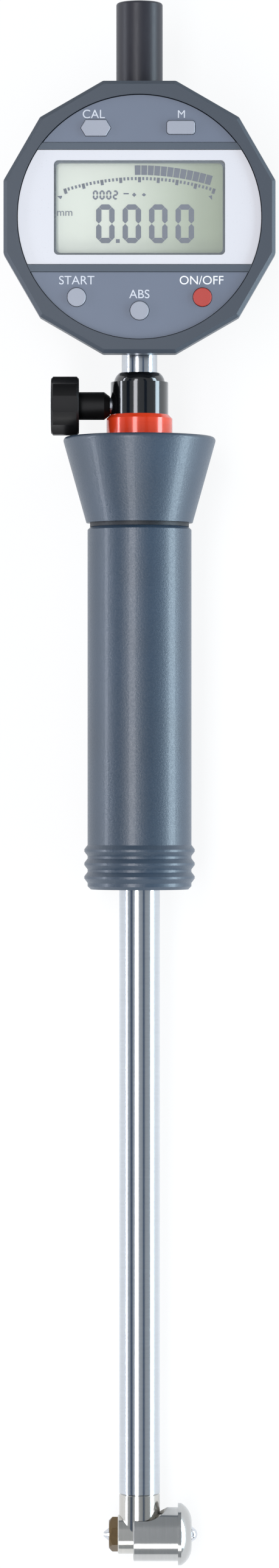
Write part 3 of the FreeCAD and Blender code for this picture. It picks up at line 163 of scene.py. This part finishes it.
def arithmetic(tree, kind, first, second):
    """A Math node of two sockets or numbers."""
    node = tree.nodes.new("ShaderNodeMath")
    node.operation = kind
    for slot_index, value in enumerate((first, second)):
        if isinstance(value, (int, float)):
            node.inputs[slot_index].default_value = value
        else:
            tree.links.new(value, node.inputs[slot_index])
    return node.outputs[0]


def blended(tree, factor, first, second):
    """A colour mix of two sockets or colours."""
    node = tree.nodes.new("ShaderNodeMix")
    node.data_type = "RGBA"
    tree.links.new(factor, node.inputs["Factor"])
    for key, value in (("A", first), ("B", second)):
        socket = [s for s in node.inputs if s.name == key and s.type == "RGBA"][0]
        if isinstance(value, bpy.types.NodeSocket):
            tree.links.new(value, socket)
        else:
            socket.default_value = value
    return [s for s in node.outputs if s.type == "RGBA"][0]


def surface_group(name, coarse, fine):
    """Colour, roughness and height from a coarse and a fine noise.

    Colour is the base moved towards the second tone by the coarse noise, roughness is the base value plus
    the fine noise about its middle times the spread, and height is the fine noise.
    """
    if name in bpy.data.node_groups:
        return bpy.data.node_groups[name]
    tree = bpy.data.node_groups.new(name, "ShaderNodeTree")
    entry, leave = group_io(
        tree,
        [
            ("Vector", "NodeSocketVector", None),
            ("Base", "NodeSocketColor", (0.5, 0.5, 0.5, 1)),
            ("Second", "NodeSocketColor", (0.4, 0.4, 0.4, 1)),
            ("Roughness", "NodeSocketFloat", 0.4),
            ("Spread", "NodeSocketFloat", 0.1),
            ("Scale", "NodeSocketFloat", 1.0),
        ],
        [("Colour", "NodeSocketColor"), ("Roughness", "NodeSocketFloat"), ("Height", "NodeSocketFloat")],
    )
    take = entry.outputs
    cloud = noise(tree, take["Vector"], arithmetic(tree, "MULTIPLY", take["Scale"], coarse), 3.0)
    grain = noise(tree, take["Vector"], arithmetic(tree, "MULTIPLY", take["Scale"], fine), 2.0)
    colour = blended(tree, cloud, take["Base"], take["Second"])
    middle = arithmetic(tree, "SUBTRACT", grain, 0.5)
    rough = arithmetic(tree, "ADD", arithmetic(tree, "MULTIPLY", middle, take["Spread"]), take["Roughness"])
    tree.links.new(colour, leave.inputs["Colour"])
    tree.links.new(rough, leave.inputs["Roughness"])
    tree.links.new(grain, leave.inputs["Height"])
    return tree


def finish(name, base, second=None, rough=0.4, spread=0.15, metal=0.0, scale=1.0, stretch=(1, 1, 1),
           relief=0.0, depth=0.0, coat=0.0, alpha=1.0, turned=False, specular=0.5):
    """A material of one shader fed by a surface group; stretch sets the grain's direction."""
    material = bpy.data.materials.new(name)
    material.use_nodes = True
    tree = material.node_tree
    shader = tree.nodes["Principled BSDF"]
    where = tree.nodes.new("ShaderNodeTexCoord")
    mapping = tree.nodes.new("ShaderNodeMapping")
    mapping.inputs["Scale"].default_value = stretch
    tree.links.new(where.outputs["Object"], mapping.inputs["Vector"])
    effect = tree.nodes.new("ShaderNodeGroup")
    kind = ("turned_marks", 260, 2600) if turned else ("moulded_grain", 60, 2400)
    effect.node_tree = surface_group(*kind)
    tree.links.new(mapping.outputs["Vector"], effect.inputs["Vector"])
    base = tuple(base)
    effect.inputs["Base"].default_value = base
    effect.inputs["Second"].default_value = tuple(second) if second else tuple(c * 0.88 for c in base[:3]) + (1,)
    effect.inputs["Roughness"].default_value = rough
    effect.inputs["Spread"].default_value = spread
    effect.inputs["Scale"].default_value = scale
    tree.links.new(effect.outputs["Colour"], shader.inputs["Base Color"])
    tree.links.new(effect.outputs["Roughness"], shader.inputs["Roughness"])
    if relief:
        bump = tree.nodes.new("ShaderNodeBump")
        bump.inputs["Strength"].default_value = relief
        bump.inputs["Distance"].default_value = depth
        tree.links.new(effect.outputs["Height"], bump.inputs["Height"])
        tree.links.new(bump.outputs["Normal"], shader.inputs["Normal"])
    shader.inputs["Metallic"].default_value = metal
    shader.inputs["Specular IOR Level"].default_value = specular
    shader.inputs["Coat Weight"].default_value = coat
    shader.inputs["Alpha"].default_value = alpha
    return material


def dress(material, *nodes):
    """Gives the material to every slot of these CAD nodes."""
    for name in nodes:
        piece = frame["nodes"][name]
        if not piece.material_slots:
            piece.data.materials.append(material)
        for place in piece.material_slots:
            place.material = material


def squeeze(name, joint):
    """Gives a coil spring a mesh of its own; its length and its seat at the far end of the joint's travel are found but
    not used.
    """
    spring, way = frame["nodes"][name], Vector(JOINTS[joint]["axis"]).normalized()
    corners = np.array([spring.matrix_world @ vertex.co for vertex in spring.data.vertices])
    reach = corners @ np.array(way)
    length, seat = float(reach.max() - reach.min()), corners[int(reach.argmax())]
    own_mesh(spring)


# ---------------------------------------------------------------- mark surfaces
def prisms(outlines, back, front):
    """Many equal-sided outlines given depth.

    outlines is an array of n closed outlines of k points, counter-clockwise. Each point is written twice,
    at the back and at the front height; caps follow the outline and walls join each point to the next.
    """
    outlines = np.asarray(outlines, float)
    count, corners = outlines.shape[:2]
    low = np.dstack([outlines, np.full((count, corners), back)])
    high = np.dstack([outlines, np.full((count, corners), front)])
    points = np.concatenate([low, high], axis=1).reshape(-1, 3)
    start = (np.arange(count) * 2 * corners)[:, None]
    step = np.arange(corners)[None, :]
    after = (step + 1) % corners
    bottom = (start + step)[:, ::-1]
    top = start + corners + step
    walls = np.stack([start + step, start + after, start + corners + after, start + corners + step], axis=2)
    return points, bottom.tolist() + top.tolist() + walls.reshape(-1, 4).tolist()


def dial_world(points):
    """Points in millimetres about the middle of the housing, as world points."""
    return points @ np.array(TURN).T * MM + np.array(DIAL)


def set_on_dial(name, mesh, material):
    """Makes a mesh a piece of one material that moves with the indicator."""
    mesh.materials.clear()
    mesh.materials.append(material)
    mesh.update()
    piece = bpy.data.objects.new(name, mesh)
    bpy.context.scene.collection.objects.link(piece)
    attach(piece, "indicator")


def on_dial(name, points, faces, material):
    """A piece on the dial from points in millimetres about the middle of the housing."""
    mesh = bpy.data.meshes.new(name)
    mesh.from_pydata(dial_world(points).tolist(), [], faces)
    set_on_dial(name, mesh, material)


SEGMENTS = {"0": (1, 1, 1, 1, 1, 1, 0), "2": (1, 1, 0, 1, 1, 0, 1)}


def digit_segments(digit, left, foot, width, height, stroke):
    """Six-cornered bars of one digit.

    Each bar runs between two corners of the digit's cell, its ends pointed at 45 degrees and held a thirtieth of
    a stroke short of the corner, half a stroke to either side of its line.
    """
    half = stroke / 2
    x0, x1 = left + half, left + width - half
    rows = [foot + height - half, foot + height / 2, foot + half]
    top, middle, bottom = rows
    ends = [(x0, top, x1, top), (x1, middle, x1, top), (x1, bottom, x1, middle), (x0, bottom, x1, bottom),
            (x0, bottom, x0, middle), (x0, middle, x0, top), (x0, middle, x1, middle)]
    lines = np.array([end for end, lit in zip(ends, SEGMENTS[digit]) if lit]).reshape(-1, 2, 2)
    way = lines[:, 1] - lines[:, 0]
    way /= np.linalg.norm(way, axis=1)[:, None]
    side = np.stack([-way[:, 1], way[:, 0]], axis=1)
    gap = stroke / 30
    first, last = lines[:, 0] + way * gap, lines[:, 1] - way * gap
    return np.stack(
        [first, first + (way - side) * half, last - (way + side) * half, last,
         last - (way - side) * half, first + (way + side) * half], axis=1)


def arc_blocks(turns, half, inner, outer, radius, top):
    """Four-cornered blocks on an arc.

    A corner lies at radius plus its offset from the arc's centre, turned from straight up by the block's own
    angle, plus or minus half its width over the radius; the arc's top is at the given height.
    """
    turns = np.asarray(turns)[:, None]
    sweep = np.array([-half, half, half, -half])[None, :] / radius
    reach = np.array([inner, inner, outer, outer])[None, :] + radius
    angle = turns + sweep
    return np.stack([reach * np.sin(angle), reach * np.cos(angle) - radius + top], axis=2)


def words(name, text, x, y, size, level, material):
    """Flat letters of a plain typeface, made a mesh and set on the dial."""
    curve = bpy.data.curves.new(name, "FONT")
    curve.body = text
    curve.size = size
    curve.extrude = 0.015
    curve.align_x = "CENTER"
    curve.align_y = "CENTER"
    holder = bpy.data.objects.new(name + "_outline", curve)
    mesh = bpy.data.meshes.new_from_object(holder)
    bpy.data.objects.remove(holder)
    count = len(mesh.vertices)
    flat = np.empty(count * 3)
    mesh.vertices.foreach_get("co", flat)
    points = dial_world(flat.reshape(-1, 3) + np.array([x, y, level]))
    mesh.vertices.foreach_set("co", points.ravel())
    mesh.name = name
    set_on_dial(name, mesh, material)


# ---------------------------------------------------------------- operators
class GAUGE_OT_steel(bpy.types.Operator):
    """Polished and turned metal of the head, the shaft and the inner works"""

    bl_idname = "gauge.steel"
    bl_label = "Metal"

    def execute(self, context):
        steel = tuple(context.scene.gauge_finish.steel)
        across, along = (9, 0.5, 0.5), (0.5, 9, 0.5)
        polished = dict(metal=1.0, rough=0.16, spread=0.1, turned=True, relief=0.05, depth=0.00002)
        dress(finish("shaft_steel", steel, stretch=along, **polished), "shaft_tube", "stem", "spindle", "contact_point",
              "push_rod", "guide_pin")
        dress(finish("head_steel", linear((204, 201, 195)), stretch=across, **polished), "head_body")
        dress(finish("sleeve_steel", linear((190, 189, 187)), stretch=across, **polished), "centring_sleeve")
        dress(finish("hard_steel", linear((214, 216, 220)), stretch=across, metal=1.0, rough=0.1, spread=0.06),
              "measuring_contact", "anvil", "bell_crank", "pivot_pin", "sleeve_pin")
        dress(finish("nut_steel", linear((104, 86, 62)), stretch=across, metal=1.0, rough=0.24, spread=0.12,
                     turned=True), "lock_nut")
        dress(finish("bush_brass", linear((190, 156, 92)), metal=1.0, rough=0.3, stretch=along, turned=True),
              "contact_bush", "shaft_guides", "handle_guide", "stem_bushes", "upper_bush", "clamp_pad")
        dress(finish("spring_wire", linear((150, 152, 158)), metal=1.0, rough=0.3), "rod_spring", "sleeve_spring",
              "spindle_spring", "battery_contact")
        dress(finish("turned_alloy", linear((186, 188, 192)), metal=1.0, rough=0.32, stretch=along, turned=True),
              "handle_tube", "rod_collar", "spindle_carrier")
        dress(finish("screw_steel", linear((160, 162, 166)), metal=1.0, rough=0.28, turned=True), "clamp_screw",
              "cover_screws", "board_screws", "battery")
        for spring, joint in (("rod_spring", "rod_slide"), ("spindle_spring", "spindle_slide"),
                              ("sleeve_spring", "sleeve_slide")):
            squeeze(spring, joint)
        return {"FINISHED"}


class GAUGE_OT_grip(bpy.types.Operator):
    """Moulded grip, flared guard, spacer and coloured ring"""

    bl_idname = "gauge.grip"
    bl_label = "Grip"

    def execute(self, context):
        tones = context.scene.gauge_finish
        moulded = finish("grip_moulded", tones.grip, second=linear((44, 63, 82)), rough=0.4, spread=0.24,
                         relief=0.4, depth=0.00009, coat=0.12, specular=0.85)
        dress(moulded, "grip_sleeve", "hand_guard")
        dress(finish("spacer_dark", linear((26, 30, 36)), rough=0.5, relief=0.1, depth=0.00004), "guard_spacer")
        dress(finish("ring_anodised", tones.ring, second=linear((228, 60, 24)), metal=0.1, rough=0.2, spread=0.1,
                     stretch=(0.5, 9, 0.5), turned=True, coat=0.5), "colour_ring")
        return {"FINISHED"}


class GAUGE_OT_clamp(bpy.types.Operator):
    """Clamp collar, its knob and the knob's insert, painted near white for the reflection of a white light on its domed
    end
    """

    bl_idname = "gauge.clamp"
    bl_label = "Clamp"

    def execute(self, context):
        tones = context.scene.gauge_finish
        dress(finish("collar_anodised", tones.collar, metal=0.2, rough=0.14, spread=0.08, stretch=(0.5, 9, 0.5),
                     turned=True, coat=0.8, specular=0.7), "clamp_collar")
        dress(finish("knob_moulded", tones.knob, second=linear((20, 19, 19)), rough=0.4, relief=0.08,
                     depth=0.00005, specular=0.22), "clamp_knob")
        # Painted reflection: the insert's near-white colour stands in for white light reflected from the knob's domed
        # end.
        dress(finish("insert_painted_reflection", linear((240, 241, 244)), rough=0.3, relief=0.05, depth=0.00003), "knob_insert")
        return {"FINISHED"}


class GAUGE_OT_housing(bpy.types.Operator):
    """Indicator's housing, cover, cap, face plates and buttons"""

    bl_idname = "gauge.housing"
    bl_label = "Housing"

    def execute(self, context):
        tones = context.scene.gauge_finish
        fine = dict(relief=0.12, depth=0.00004, spread=0.14)
        dress(finish("housing_moulded", tones.housing, rough=0.42, **fine), "main_housing", "back_cover")
        dress(finish("bar_moulded", linear((72, 82, 93)), rough=0.4, **fine), "dial_carrier")
        dress(finish("plate_print", tones.plates, second=linear((98, 106, 121)), rough=0.34, **fine),
              "upper_face_plate", "lower_face_plate")
        dress(finish("surround_print", tones.surround, second=linear((206, 205, 209)), rough=0.3, **fine),
              "display_surround")
        dress(finish("cap_moulded", tones.cap, second=linear((48, 47, 53)), rough=0.38, specular=0.32,
                     stretch=(1, 0.2, 1), **fine),
              "spindle_cap")
        dress(finish("button_moulded", linear((154, 157, 167)), rough=0.4, **fine), "button_cal", "button_mode",
              "button_start", "button_abs")
        dress(finish("button_red", linear((176, 56, 46)), rough=0.38, **fine), "button_power")
        dress(finish("door_moulded", linear((52, 60, 70)), rough=0.46, **fine), "battery_door", "battery_holder")
        dress(finish("seal_rubber", linear((28, 28, 30)), rough=0.7, **fine), "cover_gasket")
        dress(finish("window_clear", linear((245, 248, 245)), rough=0.06, spread=0.02, alpha=0.1), "display_window")
        return {"FINISHED"}


class GAUGE_OT_display(bpy.types.Operator):
    """Display cell with a painted reflection, lighter at its left and greener at its right, and the electronics behind
    it
    """

    bl_idname = "gauge.display"
    bl_label = "Display cell"

    def execute(self, context):
        tones = context.scene.gauge_finish
        cell = finish("display_cell", tones.glass_reflection_left, rough=0.3, spread=0.05)
        tree = cell.node_tree
        where = [node for node in tree.nodes if node.bl_idname == "ShaderNodeTexCoord"][0]
        # Painted reflection: the cell's colour runs across its width from the lighter left tone to the greener right
        # tone.
        split = tree.nodes.new("ShaderNodeSeparateXYZ")
        tree.links.new(where.outputs["Object"], split.inputs[0])
        spread = tree.nodes.new("ShaderNodeMapRange")
        spread.interpolation_type = "SMOOTHSTEP"
        spread.inputs["From Min"].default_value = -0.014
        spread.inputs["From Max"].default_value = 0.021
        tree.links.new(split.outputs["X"], spread.inputs["Value"])
        shader = tree.nodes["Principled BSDF"]
        toned = blended(tree, spread.outputs[0], tones.glass_reflection_left, tones.glass_reflection_right)
        tree.links.new(toned, shader.inputs["Base Color"])
        dress(cell, "lcd_panel")
        dress(finish("board_mask", linear((38, 96, 62)), rough=0.3, coat=0.3), "circuit_board", "measuring_scale")
        dress(finish("chip_black", linear((34, 34, 36)), rough=0.5), "reading_head", "button_switches")
        dress(finish("strip_silicone", linear((120, 120, 124)), rough=0.7), "lcd_connectors")
        return {"FINISHED"}


class GAUGE_OT_digits(bpy.types.Operator):
    """Large and small digits of the display"""

    bl_idname = "gauge.digits"
    bl_label = "Digits"

    def execute(self, context):
        sizes, tones = context.scene.gauge_marks, context.scene.gauge_finish
        ink = finish("display_ink", tones.ink, second=linear((38, 46, 74)), rough=0.4, spread=0.05)
        width, height, stroke = sizes.digit_width, sizes.digit_height, sizes.digit_stroke
        lefts = FIRST_DIGIT + np.arange(4) * sizes.digit_pitch
        large = [digit_segments("0", left, DIGIT_FOOT, width, height, stroke) for left in lefts]
        dot = np.array([[[-5.3, -5.6], [-4.45, -5.6], [-4.45, -4.75], [-5.3, -4.75]]])
        level = sizes.display_level
        points, faces = prisms(np.concatenate(large), level, level + MARK_DEPTH)
        on_dial("large_digits", points, faces, ink)
        small = [digit_segments(mark, left, 4.1, 1.2, 2.1, 0.4)
                 for mark, left in zip("0002", (-10.5, -9.0, -7.5, -6.0))]
        points, faces = prisms(np.concatenate(small), level, level + MARK_DEPTH)
        on_dial("small_digits", points, faces, ink)
        flags = np.array([
            [[-18.5, 4.9], [-17.7, 4.2], [-17.4, 4.7], [-17.4, 5.0]],
            [[15.5, 4.9], [16.3, 4.0], [16.3, 4.6], [16.3, 5.1]],
            [[-3.6, 5.3], [-2.4, 5.3], [-2.4, 5.6], [-3.6, 5.6]],
            [[-1.2, 4.7], [-0.7, 5.2], [-1.2, 5.7], [-1.7, 5.2]],
            [[1.0, 4.8], [1.5, 5.2], [1.0, 5.6], [0.5, 5.2]],
        ])
        points, faces = prisms(np.concatenate([flags, dot]), level, level + MARK_DEPTH)
        on_dial("display_signs", points, faces, ink)
        words("unit_word", "mm", -16.8, 1.2, 2.4, level + 0.02, ink)
        return {"FINISHED"}


class GAUGE_OT_scale(bpy.types.Operator):
    """Arc scale of the display: fine and long strokes, and a row of lit bars"""

    bl_idname = "gauge.scale"
    bl_label = "Arc scale"

    def execute(self, context):
        sizes, tones = context.scene.gauge_marks, context.scene.gauge_finish
        radius, level = sizes.arc_radius, sizes.display_level
        ink = bpy.data.materials["display_ink"]
        turns = np.linspace(-SCALE_REACH, SCALE_REACH, 41) / radius
        fine = arc_blocks(turns, 0.22, -0.4, 0.3, radius, ARC_TOP)
        broad = arc_blocks(turns[::5], 0.34, -0.9, 0.3, radius, ARC_TOP)
        points, faces = prisms(np.concatenate([fine, broad]), level, level + MARK_DEPTH)
        on_dial("scale_strokes", points, faces, ink)
        bars = arc_blocks((-0.4 + np.arange(12) * 1.42) / radius, 0.63, 0.75, 2.9, radius, ARC_TOP)
        points, faces = prisms(bars, level, level + MARK_DEPTH)
        on_dial("scale_bars", points, faces, ink)
        return {"FINISHED"}


class GAUGE_OT_words(bpy.types.Operator):
    """Generic words beside the buttons"""

    bl_idname = "gauge.words"
    bl_label = "Button words"

    def execute(self, context):
        sizes, tones = context.scene.gauge_marks, context.scene.gauge_finish
        level, size = sizes.face_level + 0.016, sizes.print_height
        pale = finish("word_print", tones.print_tone, rough=0.4, spread=0.05)
        white = finish("word_print_white", linear((240, 241, 244)), rough=0.4, spread=0.05)
        words("word_cal", "CAL", -10.3, 22.9, size, level, pale)
        words("word_mode", "M", 9.4, 22.9, size * 0.9, level, pale)
        words("word_start", "START", -14.1, -14.3, size, level, pale)
        words("word_power", "ON/OFF", 13.9, -14.3, size, level, white)
        words("word_abs", "ABS", 0.0, -17.4, size, level, pale)
        return {"FINISHED"}


def lamp(name, place, aim, size, energy, colour):
    """A rectangular soft lamp at a place in the gauge's frame, aimed at another, its long side along it."""
    light = bpy.data.lights.new(name, "AREA")
    light.shape = "RECTANGLE"
    light.size, light.size_y = size
    light.energy = energy
    light.color = colour
    holder = bpy.data.objects.new(name, light)
    start, end = gauge_point(*place), gauge_point(*aim)
    back = (start - end).normalized()
    side = ALONG.cross(back).normalized()
    holder.matrix_world = Matrix.Translation(start) @ Matrix((side, back.cross(side), back)).transposed().to_4x4()
    bpy.context.scene.collection.objects.link(holder)


def card(name, place, aim, size, colour):
    """A toned strip that only polished surfaces reflect; it throws no light and no shadow."""
    start, end = gauge_point(*place), gauge_point(*aim)
    back = (start - end).normalized()
    side = ALONG.cross(back).normalized()
    wide, tall = side * size[0] / 2, back.cross(side) * size[1] / 2
    mesh = bpy.data.meshes.new(name)
    mesh.from_pydata([start - wide - tall, start + wide - tall, start + wide + tall, start - wide + tall], [],
                     [[0, 1, 2, 3]])
    mesh.materials.append(finish(name, linear(colour), rough=1.0, spread=0.0, specular=0.0))
    piece = bpy.data.objects.new(name, mesh)
    bpy.context.scene.collection.objects.link(piece)
    piece.visible_camera = piece.visible_diffuse = piece.visible_shadow = piece.visible_transmission = False


def white_where_seen(tree, shader, share):
    """Mixes plain white into what the camera and glass see of a surface, and half of it into reflections."""
    path = tree.nodes.new("ShaderNodeLightPath")
    seen = arithmetic(tree, "MAXIMUM", path.outputs["Is Camera Ray"], path.outputs["Is Transmission Ray"])
    gloss = arithmetic(tree, "MULTIPLY", path.outputs["Is Glossy Ray"], 0.5)
    seen = arithmetic(tree, "MAXIMUM", seen, gloss)
    glow = tree.nodes.new("ShaderNodeEmission")
    glow.inputs["Color"].default_value = (1, 1, 1, 1)
    glow.inputs["Strength"].default_value = 1.0
    mix = tree.nodes.new("ShaderNodeMixShader")
    tree.links.new(arithmetic(tree, "MULTIPLY", seen, share), mix.inputs[0])
    tree.links.new(shader.outputs[0], mix.inputs[1])
    tree.links.new(glow.outputs[0], mix.inputs[2])
    return mix.outputs[0]


class GAUGE_OT_stage(bpy.types.Operator):
    """Pale floor, soft lamps, room light and the camera above the gauge"""

    bl_idname = "gauge.stage"
    bl_label = "Stage"

    def execute(self, context):
        scene, stage = context.scene, context.scene.gauge_stage
        scene.view_settings.view_transform = "Standard"
        grid = np.array([[-1, -1, 0], [1, -1, 0], [1, 1, 0], [-1, 1, 0]]) * FLOOR_HALF
        mesh = bpy.data.meshes.new("floor")
        mesh.from_pydata(grid.tolist(), [], [[0, 1, 2, 3]])
        paper = bpy.data.materials.new("floor_paper")
        paper.use_nodes = True
        tree = paper.node_tree
        shader = tree.nodes["Principled BSDF"]
        shader.inputs["Base Color"].default_value = (0.92, 0.92, 0.92, 1)
        shader.inputs["Roughness"].default_value = 0.9
        shader.inputs["Specular IOR Level"].default_value = 0.0
        result = white_where_seen(tree, shader, 0.85)
        tree.links.new(result, tree.nodes["Material Output"].inputs["Surface"])
        mesh.materials.append(paper)
        floor = bpy.data.objects.new("floor", mesh)
        scene.collection.objects.link(floor)

        world = bpy.data.worlds.new("room")
        world.use_nodes = True
        tree = world.node_tree
        room = tree.nodes["Background"]
        room.inputs["Color"].default_value = (0.86, 0.93, 1.0, 1)
        room.inputs["Strength"].default_value = stage.room
        path = tree.nodes.new("ShaderNodeLightPath")
        clear = tree.nodes.new("ShaderNodeBackground")
        clear.inputs["Color"].default_value = (1, 1, 1, 1)
        mix = tree.nodes.new("ShaderNodeMixShader")
        tree.links.new(path.outputs["Is Camera Ray"], mix.inputs[0])
        tree.links.new(room.outputs[0], mix.inputs[1])
        tree.links.new(clear.outputs[0], mix.inputs[2])
        tree.links.new(mix.outputs[0], tree.nodes["World Output"].inputs["Surface"])
        scene.world = world

        level = stage.lamp
        middle = (0, 160, 0)
        lamp("key_strip", (-330, 160, 1150), middle, (0.3, 1.5), 9.5 * level, (0.95, 0.95, 1.0))
        lamp("side_strip", (900, 160, 210), middle, (0.3, 1.4), 12.0 * level, (0.72, 0.89, 1.0))
        lamp("left_strip", (-980, 160, 200), middle, (0.14, 1.4), 5.5 * level, (0.86, 0.9, 1.0))
        lamp("head_lamp", (0, -700, 700), (0, 120, 0), (0.6, 0.3), 3.0 * level, (1, 1, 1))
        card("right_card", (520, 160, 1150), middle, (0.24, 1.6), (70, 84, 104))
        card("left_card", (-900, 160, 860), middle, (0.3, 1.6), (58, 72, 94))

        camera = bpy.data.cameras.new("camera")
        camera.sensor_width = SENSOR
        camera.lens = SENSOR * stage.distance / stage.field
        camera.clip_start = 0.01
        holder = bpy.data.objects.new("camera", camera)
        place = gauge_point(0, 169.5, stage.distance / MM)
        holder.matrix_world = Matrix.Translation(place) @ TURN.to_4x4()
        scene.collection.objects.link(holder)
        scene.camera = holder
        return {"FINISHED"}


ORDER = ("steel", "grip", "clamp", "housing", "display", "digits", "scale", "words", "stage")


class GAUGE_PT_panel(bpy.types.Panel):
    """Steps that dress the gauge"""

    bl_idname = "GAUGE_PT_panel"
    bl_label = "Dial bore gauge"
    bl_space_type = "VIEW_3D"
    bl_region_type = "UI"
    bl_category = "Gauge"

    def draw(self, context):
        for step in ORDER:
            self.layout.operator("gauge." + step)


CLASSES = (GAUGE_PG_finish, GAUGE_PG_marks, GAUGE_PG_stage, GAUGE_OT_steel, GAUGE_OT_grip, GAUGE_OT_clamp,
           GAUGE_OT_housing, GAUGE_OT_display, GAUGE_OT_digits, GAUGE_OT_scale, GAUGE_OT_words, GAUGE_OT_stage,
           GAUGE_PT_panel)


def register():
    """Registers the classes and hangs the settings on the scene."""
    for item in CLASSES:
        bpy.utils.register_class(item)
    bpy.types.Scene.gauge_finish = bpy.props.PointerProperty(type=GAUGE_PG_finish)
    bpy.types.Scene.gauge_marks = bpy.props.PointerProperty(type=GAUGE_PG_marks)
    bpy.types.Scene.gauge_stage = bpy.props.PointerProperty(type=GAUGE_PG_stage)


def unregister():
    """Takes the settings and the classes away again."""
    del bpy.types.Scene.gauge_finish, bpy.types.Scene.gauge_marks, bpy.types.Scene.gauge_stage
    for item in reversed(CLASSES):
        bpy.utils.unregister_class(item)


def main():
    """Runs every step in order."""
    register()
    for step in ORDER:
        getattr(bpy.ops.gauge, step)()


if __name__ == "__main__":
    main()
